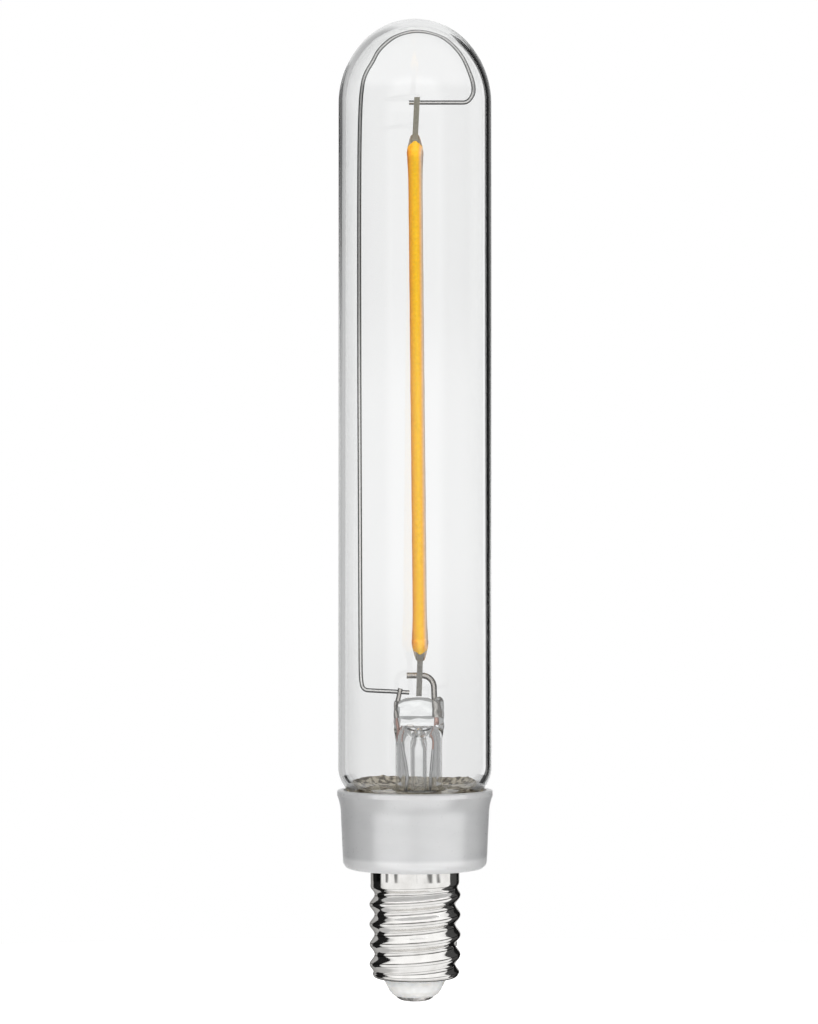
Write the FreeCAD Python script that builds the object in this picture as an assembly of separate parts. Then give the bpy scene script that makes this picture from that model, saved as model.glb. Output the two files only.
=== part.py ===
import FreeCAD, Part
import math
import os

# A tubular filament lamp on a small screw base.
# Millimetres, dome up. The origin is the tip of the centre contact, on the axis.

V = FreeCAD.Vector
UP = V(0, 0, 1)
ORIGIN = V(0, 0, 0)

# Glass envelope
glass_r = 9.9
glass_wall = 0.85
glass_top_z = 126.5
dome_extra_height = 1.0
dome_crown_flat = 0.6
glass_corner_r = 3.35

# Collar, a moulded cup with a flared lip and a neck inside the base
collar_bottom_z = 16.8
collar_height = 10.1
collar_draft = 0.27
lip_flare = 0.48
collar_wall = 0.8
collar_floor = 1.7
collar_corner_r = 1.1
lip_overhang = 0.1
lip_height = 0.7
lip_sweep = 2.6
lip_throat = 0.4
lip_bore_draft = 0.05
cup_draft = 0.1
rim_r = 0.2
lip_glass_gap = 0.03
ledge_height = 7.8
ledge_depth = 0.35
neck_length = 8.8
neck_wall = 1.0
neck_seat_length = 1.9
fit_gap = 0.05

# Screw base
sheet = 0.3
band_r = 5.7
thread_crest_out = 0.15
thread_root_in = 0.5
band_height = 2.2
band_taper = 0.5
base_rim_z = 2.9
base_rim_bore_r = 4.12
base_rim_bend_r = 0.6
stake_count = 18
stake_width = 1.2
stake_height = 1.15
stake_depth = 0.12
stake_below_collar = 0.75
stake_turn = 9.0

# Insulator and centre contact
insulator_neck_r = 4.03
insulator_neck = 0.2
insulator_side_gap = 0.8
insulator_flange = 1.0
insulator_cone_r = 3.32
insulator_cone_z = 1.3
insulator_foot_r = 2.97
insulator_foot_z = 0.86
contact_head_r = 2.4
contact_head_h = 0.6
contact_head_edge = 0.15
contact_seat = 0.2
contact_land_r = 1.2
contact_crown_reach = 0.75
contact_crown_rise = 0.12
contact_shank_r = 0.75
contact_shank_h = 5.0

# Stem: flare tube, pinched press and exhaust tube
stem_x = 0.5
flare_mouth_r = 4.3
flare_fillet_r = 1.0
flare_tube_r = 3.0
flare_tube_wall = 0.7
press_width = 6.5
press_depth = 2.6
press_height = 3.4
press_crown = 0.45
stem_height = 13.15
pinch_height = 2.35
cavity_cover = 0.2
cavity_flare = 0.6
cavity_flare_height = 1.2
plug_r = 1.76
plug_drop = 2.3
blow_hole_r = 0.7
exhaust_r = 1.05
exhaust_wall = 0.3
exhaust_board_gap = 0.45

# Wires
support_wire_d = 0.55
lead_left_d = 0.63
lead_right_d = 0.76
seal_wire_d = 0.3
outer_lead_d = 0.4
weld_gap = 0.01
support_bend_r = 1.5
support_bend_high_r = 1.75
support_inset_low = 1.97
support_inset_high = 1.73
support_high_drop = 8.0
support_run_drop = 0.85
support_start = 1.18
support_start_dip = 0.25
support_end_overlap = 0.75
lead_right_rise = 2.8
lead_right_bend_r = 1.55
lead_right_reach = 1.52
lead_right_offset = 1.9
lead_left_rise = 1.15
lead_left_offset = 2.34
lead_left_bulge = 2.88
lead_left_bulge_drop = 1.25
lead_left_bend_r = 2.5
lead_depth_in_press = 2.65
seal_left_offset = 2.63
seal_left_foot = 2.2
seal_right_offset = 2.1
seal_right_foot = 1.9
seal_right_drop = 0.9
outer_left_waist = 1.3
outer_right_waist = 1.55
outer_waist_depth = 0.65
outer_waist_rise = 2.2
outer_low_drop = 0.8
outer_bend_r = 0.8
pad_left_offset = 1.9
pad_right_offset = 1.6
pad_drop = 1.6

# Light filament
filament_d = 1.78
filament_bulge_d = 2.12
filament_bulge_at = 1.9
filament_end_d = 0.95
filament_swell = 0.05
filament_top_x = 0.03
filament_bottom_x = 0.68
pin_width = 0.7
pin_thickness = 0.3
pin_inside = 2.2
top_pin_length = 5.7
top_pin_lean = 0.27
top_pin_above_weld = 0.8
bottom_pin_length = 5.3
bottom_pin_lean = -0.16
bottom_pin_below_weld = 2.65
substrate_width = 0.9
substrate_thickness = 0.35
chip_count = 28
chip_width = 0.45
chip_length = 0.9
chip_thickness = 0.15

# Glue between glass and collar
glue_thickness = 1.0
glue_bore_r = 2.8
glue_climb = 45.0
glue_edge = 0.6
glue_gap = 0.02

# Driver
board_thickness = 0.8
board_above_neck = 1.5
board_ledge_gap = 0.9
groove_depth = 0.25
groove_gap = 0.1
driver_gap = 0.02
package_drop = 1.9
package_gap = 0.4
bridge_size = (3.9, 1.4, 4.7)
chip_size = (3.9, 1.5, 4.9)
leg_size = (0.5, 0.25, 0.45)
leg_count = 4
capacitor_side_gap = 0.43
capacitor_length = 5.0
fuse_r = 0.85
fuse_length = 3.2
fuse_stand_off = 0.3
fuse_lead_end = 0.9
fuse_lead_slope = 0.9
fuse_lead_foot = 0.8
driver_wire_d = 0.5
driver_bend_r = 0.6
contact_lead_stand = 1.5
contact_lead_slope = 1.5
shell_lead_inset = 0.75
shell_lead_overlap = 1.6
shell_lead_drop = 0.9

# Heights and radii that follow from the sizes above
glass_in_r = glass_r - glass_wall
dome_height = glass_r + dome_extra_height
dome_crown_r = glass_r - dome_crown_flat
dome_base_z = glass_top_z - dome_height
dome_in_height = dome_height - glass_wall
lip_r = glass_r + lip_overhang
collar_waist_r = lip_r - lip_flare
collar_foot_r = collar_waist_r - collar_draft
cup_r = collar_foot_r - collar_wall + cup_draft
collar_top_z = collar_bottom_z + collar_height
ledge_z = collar_bottom_z + ledge_height
floor_top_z = collar_bottom_z + collar_floor
glass_bottom_z = ledge_z + glue_thickness
glass_floor_z = glass_bottom_z + glass_wall
glass_corner_z = glass_bottom_z + glass_corner_r
neck_bottom_z = collar_bottom_z - neck_length
thread_crest_r = band_r + thread_crest_out
thread_root_r = band_r - thread_root_in
insulator_flange_r = thread_crest_r - sheet - insulator_side_gap
neck_seat_r = band_r - sheet - fit_gap
neck_r = thread_root_r - sheet - fit_gap
neck_bore_r = neck_r - neck_wall
band_bottom_z = collar_bottom_z - band_height
stem_top_z = glass_bottom_z + stem_height
press_bottom_z = stem_top_z - press_height
press_side_z = stem_top_z - press_crown
pinch_z = press_bottom_z - pinch_height
bore_r = flare_tube_r - flare_tube_wall
plug_z = press_bottom_z - plug_drop
cavity_top_z = press_bottom_z - cavity_cover
support_low_z = stem_top_z + support_run_drop
support_y = pin_thickness / 2 + weld_gap + support_wire_d / 2
lead_right_y = pin_thickness / 2 + weld_gap + lead_right_d / 2
lead_left_y = support_y - support_wire_d / 2 - weld_gap - lead_left_d / 2
bottom_weld_z = stem_top_z + lead_right_rise
top_weld_z = dome_base_z
filament_top_z = top_weld_z + top_pin_above_weld - top_pin_length
filament_bottom_z = bottom_weld_z - bottom_pin_below_weld + bottom_pin_length
board_bottom_z = neck_bottom_z + board_above_neck
board_top_z = ledge_z - board_ledge_gap
board_half = board_thickness / 2
board_width = 2 * (neck_bore_r + groove_depth - groove_gap)
capacitor_r = (neck_bore_r - board_half - driver_gap - capacitor_side_gap) / 2
exhaust_tip_z = board_top_z + exhaust_board_gap
package_top_z = board_top_z - package_drop
capacitor_top_z = package_top_z - bridge_size[2] - package_gap
fuse_lead_top_z = package_top_z - chip_size[2] - package_gap
fuse_top_z = fuse_lead_top_z - fuse_lead_foot - fuse_lead_slope - fuse_lead_end
fuse_bottom_z = fuse_top_z - fuse_length
fuse_y = -(board_half + fuse_stand_off + fuse_r)


def line(a, b):
    return Part.LineSegment(a, b).toShape()


def arc(a, middle, b):
    return Part.Arc(a, middle, b).toShape()


def corner_arc(centre, radius, start, end):
    """Part of a circle in the XZ plane, by its angles in degrees."""
    points = []
    for share in (0, 0.5, 1):
        angle = math.radians(start + (end - start) * share)
        points.append(centre + V(radius * math.cos(angle), 0, radius * math.sin(angle)))
    return arc(*points)


def arc_about(centre, a, b):
    """The shorter arc from a to b round a centre."""
    middle = ((a - centre) + (b - centre)).normalize() * (a - centre).Length
    return arc(a, centre + middle, b)


def dome_arcs(inset):
    """Crown and shoulder of the dome's half outline, from the axis to the side, inset by a wall."""
    crown_z = glass_top_z - dome_crown_r
    rise = crown_z - dome_base_z
    shoulder_r = (dome_crown_r ** 2 - glass_r ** 2 - rise ** 2) / (2 * (dome_crown_r - glass_r))
    crown = V(0, 0, crown_z)
    shoulder = V(glass_r - shoulder_r, 0, dome_base_z)
    away = (crown - shoulder).normalize()
    if shoulder_r < dome_crown_r:
        away = away * -1
    joint = crown + away * (dome_crown_r - inset)
    top = V(0, 0, glass_top_z - inset)
    side = V(glass_r - inset, 0, dome_base_z)
    return [arc_about(crown, top, joint), arc_about(shoulder, joint, side)]


def chain(points):
    return [line(a, b) for a, b in zip(points, points[1:])]


def profile(*points):
    return [V(r, 0, z) for r, z in points]


def turned(edges):
    return Part.Face(Part.Wire(edges)).revolve(ORIGIN, UP, 360)


def turned_polygon(*points):
    ring = profile(*points)
    return turned(chain(ring + ring[:1]))


def cylinder(radius, z0, z1, x=0.0, y=0.0):
    return Part.makeCylinder(radius, z1 - z0, V(x, y, z0))


def block(size, centre):
    corner = centre - V(*size) * 0.5
    return Part.makeBox(*size, corner)


def bent_path(points, radii):
    """Straight runs joined by tangent arcs. A radius of None is as large as its two runs allow."""
    edges = []
    last = points[0]
    for before, corner, after, radius in zip(points, points[1:], points[2:], radii):
        back = (before - corner).normalize()
        ahead = (after - corner).normalize()
        half_turn = (math.pi - back.getAngle(ahead)) / 2
        if radius is None:
            radius = 0.45 * min((before - corner).Length, (after - corner).Length) / math.tan(half_turn)
        cut = radius * math.tan(half_turn)
        start = corner + back * cut
        end = corner + ahead * cut
        inward = (back + ahead).normalize()
        middle = corner + inward * (radius / math.cos(half_turn) - radius)
        edges += [line(last, start), arc(start, middle, end)]
        last = end
    edges.append(line(last, points[-1]))
    return Part.Wire(edges)


def wire_along(points, radii, diameter):
    path = bent_path(points, radii)
    heading = points[1] - points[0]
    end_face = Part.Face(Part.Wire(Part.makeCircle(diameter / 2, points[0], heading)))
    return path.makePipe(end_face)


def straight_wire(start, end, diameter):
    return Part.makeCylinder(diameter / 2, (end - start).Length, start, end - start)


def make_glass_envelope():
    side = glass_r - glass_corner_r
    corner = V(side, 0, glass_corner_z)
    mouth = line(V(side, 0, glass_bottom_z), V(0, 0, glass_bottom_z))
    outer = dome_arcs(0)
    outer += [line(V(glass_r, 0, dome_base_z), V(glass_r, 0, glass_corner_z)),
              corner_arc(corner, glass_corner_r, 0, -90), mouth,
              line(V(0, 0, glass_bottom_z), V(0, 0, glass_top_z))]
    inner = dome_arcs(glass_wall)
    inner += [line(V(glass_in_r, 0, dome_base_z), V(glass_in_r, 0, glass_corner_z)),
              corner_arc(corner, glass_corner_r - glass_wall, 0, -90),
              line(V(side, 0, glass_floor_z), V(0, 0, glass_floor_z)),
              line(V(0, 0, glass_floor_z), V(0, 0, glass_top_z - glass_wall))]
    stem_hole = cylinder(flare_mouth_r, glass_bottom_z - 1, glass_floor_z + 1, stem_x)
    return turned(outer).cut(turned(inner)).cut(stem_hole)


def flat_oval(half_width, half_depth, z):
    """A closed section of two end arcs and two sides, about the stem's axis."""
    straight = half_width - half_depth
    ends = [V(sx * straight, sy * half_depth, 0) for sx, sy in ((1, -1), (1, 1), (-1, 1), (-1, -1))]
    right = arc(ends[0], V(half_width, 0, 0), ends[1])
    left = arc(ends[2], V(-half_width, 0, 0), ends[3])
    wire = Part.Wire([right, line(ends[1], ends[2]), left, line(ends[3], ends[0])])
    wire.translate(V(stem_x, 0, z))
    return wire


def round_section(radius, z):
    """The same four edges as the oval, on a circle."""
    corner = math.radians(60)
    across, deep = radius * math.cos(corner), radius * math.sin(corner)
    ends = [V(sx * across, sy * deep, 0) for sx, sy in ((1, -1), (1, 1), (-1, 1), (-1, -1))]
    wire = Part.Wire([arc(ends[0], V(radius, 0, 0), ends[1]), arc(ends[1], V(0, radius, 0), ends[2]),
                      arc(ends[2], V(-radius, 0, 0), ends[3]), arc(ends[3], V(0, -radius, 0), ends[0])])
    wire.translate(V(stem_x, 0, z))
    return wire


def make_press_head():
    """The pinched block with a gently crowned top."""
    half = press_width / 2
    block_wire = flat_oval(half, press_depth / 2, press_bottom_z)
    prism = Part.Face(block_wire).extrude(V(0, 0, press_height))
    front = -press_depth
    crown = [line(V(-half, front, press_bottom_z), V(-half, front, press_side_z)),
             arc(V(-half, front, press_side_z), V(0, front, stem_top_z), V(half, front, press_side_z)),
             line(V(half, front, press_side_z), V(half, front, press_bottom_z)),
             line(V(half, front, press_bottom_z), V(-half, front, press_bottom_z))]
    outline = Part.Face(Part.Wire(crown)).extrude(V(0, 2 * press_depth, 0))
    outline.translate(V(stem_x, 0, 0))
    return prism.common(outline)


def make_flare_tube():
    """Solid outside of the tube, its rim fused level with the envelope's floor."""
    fillet_z = glass_floor_z + flare_fillet_r
    centre = V(flare_tube_r + flare_fillet_r, 0, fillet_z)
    foot = flare_tube_r + flare_fillet_r
    edges = chain(profile((0, pinch_z), (0, glass_bottom_z), (flare_mouth_r, glass_bottom_z),
                          (flare_mouth_r, glass_floor_z), (foot, glass_floor_z)))
    edges += [corner_arc(centre, flare_fillet_r, 270, 180)]
    edges += chain(profile((flare_tube_r, fillet_z), (flare_tube_r, pinch_z), (0, pinch_z)))
    tube = turned(edges)
    tube.translate(V(stem_x, 0, 0))
    return tube


def make_stem_cavity():
    """The tube's bore, squeezed shut round the rounded plug of solid glass under the press."""
    lower_bore = cylinder(bore_r, glass_bottom_z - 1, pinch_z, stem_x)
    mouth = Part.makeCone(bore_r + cavity_flare, bore_r, cavity_flare_height,
                          V(stem_x, 0, glass_bottom_z))
    squeezed = Part.makeLoft([round_section(bore_r, pinch_z),
                              flat_oval(bore_r, press_depth / 2 - flare_tube_wall, cavity_top_z)],
                             True, True)
    return lower_bore.fuse([mouth, squeezed.cut(make_plug())])


def make_plug():
    """A rounded drop of glass, hanging from above the cavity."""
    centre = V(0, 0, plug_z + plug_r)
    side_z = max(cavity_top_z, centre.z) + 1
    edges = [corner_arc(centre, plug_r, -90, 0)]
    edges += chain(profile((plug_r, centre.z), (plug_r, side_z), (0, side_z), (0, plug_z)))
    plug = turned(edges)
    plug.translate(V(stem_x, 0, 0))
    return plug


def make_stem_glass(buried):
    """One piece of glass, with the sealed-in wires' own holes."""
    squeezed = Part.makeLoft([round_section(flare_tube_r, pinch_z),
                              flat_oval(press_width / 2, press_depth / 2, press_bottom_z)], True, True)
    body = make_flare_tube().fuse([squeezed, make_press_head()])
    blow_hole_z = plug_z + blow_hole_r + exhaust_wall
    passage = cylinder(exhaust_r - exhaust_wall, plug_z - 1, blow_hole_z, stem_x)
    blow_hole = Part.makeCylinder(blow_hole_r, press_depth, V(stem_x, 0, blow_hole_z), V(0, -1, 0))
    return body.cut([make_stem_cavity(), passage, blow_hole] + buried)


def make_exhaust_tube():
    """Narrow tube down from the plug, melted shut at its tip."""
    bore = exhaust_r - exhaust_wall
    tip = V(0, 0, exhaust_tip_z + exhaust_r)
    top_z = plug_z + exhaust_r
    edges = [corner_arc(tip, exhaust_r, 0, -90)]
    edges += chain(profile((0, exhaust_tip_z), (0, tip.z), (bore, tip.z + bore), (bore, top_z),
                           (exhaust_r, top_z), (exhaust_r, tip.z)))
    tube = turned(edges)
    tube.translate(V(stem_x, 0, 0))
    return tube.cut(make_plug())


def dome_point(across, up):
    """A place in the dome, as shares of its inner half-width and height."""
    return V(across * glass_in_r, support_y, dome_base_z + up * dome_in_height)


def make_support_wire():
    """Up the left side, over inside the dome and back to the filament's top pin."""
    start = V(stem_x - support_start, support_y, support_low_z - support_start_dip)
    low = V(-glass_in_r + support_inset_low, support_y, support_low_z)
    high = V(-glass_in_r + support_inset_high, support_y, dome_base_z - support_high_drop)
    end = V(filament_top_x - support_end_overlap, support_y, top_weld_z)
    route = [(start, None), (low, support_bend_r), (high, 60.0),
             (dome_point(-0.785, 0.16), 6.0), (dome_point(-0.715, 0.36), 1.8),
             (dome_point(-0.605, 0.495), 2.0), (dome_point(-0.515, 0.65), None),
             (dome_point(-0.355, 0.805), None), (dome_point(-0.142, 0.925), None),
             (dome_point(0.088, 0.945), None), (dome_point(0.331, 0.9), None),
             (dome_point(0.541, 0.776), None), (dome_point(0.69, 0.602), None),
             (dome_point(0.788, 0.41), None), (dome_point(0.838, 0.26), 3.0),
             (dome_point(0.832, 0.0), support_bend_high_r), (end, None)]
    points = [place for place, _ in route]
    radii = [radius for _, radius in route[1:-1]]
    return wire_along(points, radii, support_wire_d)


left_seal_top = V(stem_x - seal_left_offset, lead_left_y, stem_top_z - lead_depth_in_press)
right_seal_top = V(stem_x + seal_right_offset, lead_right_y, stem_top_z - lead_depth_in_press)
left_seal_foot = V(stem_x - seal_left_foot, lead_left_y, pinch_z)
right_seal_foot = V(stem_x + seal_right_foot, lead_right_y, pinch_z - seal_right_drop)
board_face = board_half + driver_gap + outer_lead_d / 2
left_pad = V(stem_x - pad_left_offset, -board_face, board_top_z - pad_drop)
right_pad = V(stem_x + pad_right_offset, board_face, board_top_z - pad_drop)


def make_left_inner_lead():
    top = V(stem_x - lead_left_offset, lead_left_y, stem_top_z + lead_left_rise)
    bulge = V(stem_x - lead_left_bulge, lead_left_y, stem_top_z - lead_left_bulge_drop)
    return wire_along([top, bulge, left_seal_top], [lead_left_bend_r], lead_left_d)


def make_right_inner_lead():
    """Stands up from the press and bends over behind the filament's bottom pin."""
    far = V(stem_x - lead_right_reach, lead_right_y, bottom_weld_z)
    bend = V(stem_x + lead_right_offset, lead_right_y, bottom_weld_z)
    return wire_along([far, bend, right_seal_top], [lead_right_bend_r], lead_right_d)


def make_outer_lead(foot, waist_x, pad, side):
    """From its seal wire down the stem's bore and onto its face of the board."""
    waist = V(waist_x, side * outer_waist_depth, glass_floor_z + outer_waist_rise)
    low = V(pad.x, pad.y, glass_bottom_z - outer_low_drop)
    return wire_along([foot, waist, low, pad], [None, outer_bend_r], outer_lead_d)


def filament_axis():
    return V(filament_top_x, 0, filament_top_z) - V(filament_bottom_x, 0, filament_bottom_z)


def on_filament(shape):
    """Moves a piece drawn upright from the origin onto the filament's leaning axis."""
    turn = FreeCAD.Rotation(UP, filament_axis())
    place = FreeCAD.Placement(V(filament_bottom_x, 0, filament_bottom_z), turn)
    return shape.transformed(place.toMatrix(), copy=True)


def along_filament(height, width=0.0):
    """A point beside the filament's axis, in the part's frame."""
    axis = filament_axis().normalize()
    side = V(axis.z, 0, -axis.x)
    return V(filament_bottom_x, 0, filament_bottom_z) + axis * height + side * width


def strip_pin(stations):
    """A flat strip through a few centre points, each given as a point in the XZ plane."""
    half = (along_filament(0, 1) - along_filament(0)) * (pin_width / 2)
    ring = [p + half for p in stations] + [p - half for p in reversed(stations)]
    face = Part.Face(Part.Wire(chain(ring + ring[:1])))
    face.translate(V(0, -pin_thickness / 2, 0))
    return face.extrude(V(0, pin_thickness, 0))


def make_top_pin():
    length = filament_axis().Length
    tip = along_filament(length) + V(top_pin_lean, 0, top_pin_length)
    return strip_pin([along_filament(length - pin_inside), along_filament(length), tip])


def make_bottom_pin():
    tip = along_filament(0) + V(bottom_pin_lean, 0, -bottom_pin_length)
    return strip_pin([along_filament(pin_inside), along_filament(0), tip])


def make_substrate():
    length = filament_axis().Length - 2 * pin_inside
    middle = V(0, 0, pin_inside + length / 2)
    return on_filament(block((substrate_width, substrate_thickness, length), middle))


def make_chips():
    """A row of small light-emitting dies along the strip's front face."""
    length = filament_axis().Length - 2 * pin_inside
    spacing = length / chip_count
    y = -substrate_thickness / 2 - chip_thickness / 2
    dies = []
    for number in range(chip_count):
        z = pin_inside + spacing * (number + 0.5)
        dies.append(on_filament(block((chip_width, chip_thickness, chip_length), V(0, y, z))))
    return Part.makeCompound(dies)


def make_phosphor_coat(inside):
    """Cast silicone round the strip, thicker near both ends."""
    length = filament_axis().Length
    body, bulge, end = filament_d / 2, filament_bulge_d / 2, filament_end_d / 2
    neck = 2.2 * filament_bulge_at
    slim = 4 * filament_bulge_at
    shoulder = (end + 3 * bulge) / 4
    first = profile((end, 0), (shoulder, filament_bulge_at * 0.4), (bulge, filament_bulge_at))
    last = [V(p.x, 0, length - p.z) for p in reversed(first)]
    middle = profile((bulge, filament_bulge_at), (body + filament_swell, neck), (body, slim),
                     (body, length - slim), (body + filament_swell, length - neck),
                     (bulge, length - filament_bulge_at))
    edges = [arc(*first)] + chain(middle) + [arc(*last)]
    edges += chain(profile((end, length), (0, length), (0, 0), (end, 0)))
    return on_filament(turned(edges)).cut(inside)


def make_collar():
    """Cup, ledge and neck turned as one moulding, then grooved for the board."""
    lip_z = collar_top_z - lip_height
    lip_reach = glass_corner_z - collar_top_z
    lip_bore = glass_r - glass_corner_r + math.sqrt(glass_corner_r ** 2 - lip_reach ** 2) + lip_glass_gap
    foot_z = collar_bottom_z + collar_corner_r
    corner = V(collar_foot_r - collar_corner_r, 0, foot_z)
    waist, throat, lip = profile((collar_waist_r, lip_z - lip_sweep),
                                 (lip_r - lip_flare * 2 / 3, lip_z - lip_sweep * lip_throat),
                                 (lip_r, lip_z))
    rim_centre = V(lip_r - rim_r, 0, collar_top_z - rim_r)
    edges = [corner_arc(corner, collar_corner_r, -90, 0), line(V(collar_foot_r, 0, foot_z), waist),
             arc(waist, throat, lip), line(lip, V(lip_r, 0, rim_centre.z)),
             corner_arc(rim_centre, rim_r, 0, 90)]
    edges += chain(profile((rim_centre.x, collar_top_z), (lip_bore, collar_top_z),
                           (lip_bore - lip_bore_draft, lip_z - 2 * rim_r), (cup_r, ledge_z),
                           (cup_r - ledge_depth, ledge_z), (cup_r - ledge_depth, floor_top_z),
                           (neck_bore_r, floor_top_z), (neck_bore_r, neck_bottom_z),
                           (neck_r, neck_bottom_z), (neck_r, collar_bottom_z - neck_seat_length),
                           (neck_seat_r, collar_bottom_z - neck_seat_length),
                           (neck_seat_r, collar_bottom_z), (corner.x, collar_bottom_z)))
    groove = block((2 * (neck_bore_r + groove_depth), board_thickness + 2 * groove_gap,
                    floor_top_z + 1 - board_bottom_z),
                   V(0, 0, (floor_top_z + 1 + board_bottom_z) / 2))
    return turned(edges).cut(groove)


def make_glass_glue():
    """Cement under the glass, filling the space round its corner inside the lip."""
    over = math.radians(glue_climb)
    corner = V(glass_r - glass_corner_r, 0, glass_corner_z)
    top = corner + V(math.sin(over), 0, -math.cos(over)) * glass_corner_r
    edges = [line(V(0, 0, glass_bottom_z), V(corner.x, 0, glass_bottom_z)),
             corner_arc(corner, glass_corner_r, -90, glue_climb - 90)]
    edges += chain([top, V(cup_r - glue_gap, 0, ledge_z + glue_edge),
                    V(cup_r - glue_gap, 0, ledge_z), V(0, 0, ledge_z), V(0, 0, glass_bottom_z)])
    return turned(edges).cut(cylinder(glue_bore_r, ledge_z - 1, glass_bottom_z + 1, stem_x))


def make_screw_shell():
    """Drawn sheet: plain band with staking marks, wall at the thread's crests and a rim bent inward."""
    wall_r = thread_crest_r
    bend = V(wall_r - base_rim_bend_r, 0, base_rim_z + base_rim_bend_r)
    taper_z = band_bottom_z - band_taper
    edges = [line(V(base_rim_bore_r, 0, base_rim_z), V(bend.x, 0, base_rim_z)),
             corner_arc(bend, base_rim_bend_r, -90, 0)]
    edges += chain(profile((wall_r, bend.z), (wall_r, taper_z), (band_r, band_bottom_z),
                           (band_r, collar_bottom_z), (band_r - sheet, collar_bottom_z),
                           (band_r - sheet, band_bottom_z), (wall_r - sheet, taper_z),
                           (wall_r - sheet, bend.z)))
    edges += [corner_arc(bend, base_rim_bend_r - sheet, 0, -90)]
    edges += chain(profile((bend.x, base_rim_z + sheet), (base_rim_bore_r, base_rim_z + sheet),
                           (base_rim_bore_r, base_rim_z)))
    marks = []
    middle_z = collar_bottom_z - stake_below_collar - stake_height / 2
    for number in range(stake_count):
        mark = block((2 * sheet, stake_width, stake_height), V(band_r - stake_depth + sheet, 0, middle_z))
        mark.rotate(ORIGIN, UP, stake_turn + number * 360 / stake_count)
        marks.append(mark)
    return turned(edges).cut(marks)


def make_insulator():
    """Moulded button held by the rim, coned down to the contact."""
    flange_z = base_rim_z + sheet
    top_z = flange_z + insulator_flange
    solid = turned_polygon((0, contact_head_h), (contact_head_r + contact_seat, contact_head_h),
                           (insulator_foot_r, insulator_foot_z), (insulator_cone_r, insulator_cone_z),
                           (insulator_neck_r, base_rim_z - insulator_neck), (insulator_neck_r, flange_z),
                           (insulator_flange_r, flange_z), (insulator_flange_r, top_z), (0, top_z))
    return solid.cut(cylinder(contact_shank_r + fit_gap, -1, top_z + 1))


def make_centre_contact():
    """Rivet with a low domed head and a small flat tip."""
    land, crown, edge, shoulder = profile((contact_land_r, 0),
                                          (contact_land_r + contact_crown_reach, contact_crown_rise),
                                          (contact_head_r, contact_head_h - contact_head_edge),
                                          (contact_head_r, contact_head_h))
    edges = [line(ORIGIN, land), arc(land, crown, edge), line(edge, shoulder)]
    edges += chain(profile((contact_head_r, contact_head_h), (contact_shank_r, contact_head_h),
                           (contact_shank_r, contact_shank_h), (0, contact_shank_h), (0, 0)))
    return turned(edges)


def make_driver_board():
    height = board_top_z - board_bottom_z
    return block((board_width, board_thickness, height), V(0, 0, board_bottom_z + height / 2))


def surface_package(size, side):
    """Moulded package with two rows of short legs, lying on one face of the board."""
    wide, deep, tall = size
    leg_wide, leg_thick, leg_tall = leg_size
    middle_z = package_top_z - tall / 2
    body_y = side * (board_half + driver_gap + deep / 2)
    leg_y = side * (board_half + driver_gap + leg_thick / 2)
    body = block((wide, deep, tall), V(0, body_y, middle_z))
    legs = []
    for number in range(leg_count):
        z = middle_z + tall * ((number + 0.5) / leg_count - 0.5)
        for edge in (-1, 1):
            x = edge * (wide + leg_wide) / 2
            legs.append(block((leg_wide, leg_thick, leg_tall), V(x, leg_y, z)))
    return body.fuse(legs)


def make_capacitor():
    y = board_half + driver_gap + capacitor_r
    return cylinder(capacitor_r, capacitor_top_z - capacitor_length, capacitor_top_z, 0, y)


def make_fuse_resistor():
    """Body and upper lead, which bends over onto the board."""
    body = cylinder(fuse_r, fuse_bottom_z, fuse_top_z, 0, fuse_y)
    face_y = -(board_half + driver_gap + driver_wire_d / 2)
    bend_z = fuse_top_z + fuse_lead_end
    lead = wire_along([V(0, fuse_y, fuse_top_z), V(0, fuse_y, bend_z),
                       V(0, face_y, bend_z + fuse_lead_slope), V(0, face_y, fuse_lead_top_z)],
                      [driver_wire_d, driver_wire_d], driver_wire_d)
    return body.fuse(lead)


def make_contact_lead():
    """From the resistor's lower end down to the rivet's shank."""
    low = V(0, 0, contact_shank_h + contact_lead_stand)
    turn = V(0, fuse_y, low.z + contact_lead_slope)
    return wire_along([V(0, fuse_y, fuse_bottom_z), turn, low, V(0, 0, contact_shank_h)],
                      [driver_bend_r, driver_bend_r], driver_wire_d)


def make_shell_lead():
    """From the board's lower corner down past the neck and out to the wall of the base."""
    x = neck_bore_r - shell_lead_inset
    y = board_half + driver_gap + driver_wire_d / 2
    wall_r = thread_crest_r - sheet - fit_gap
    end_x = math.sqrt(wall_r ** 2 - (y + driver_wire_d / 2) ** 2)
    foot_z = neck_bottom_z - shell_lead_drop
    return wire_along([V(x, y, board_bottom_z + shell_lead_overlap), V(x, y, foot_z), V(end_x, y, foot_z)],
                      [driver_bend_r], driver_wire_d)


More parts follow.
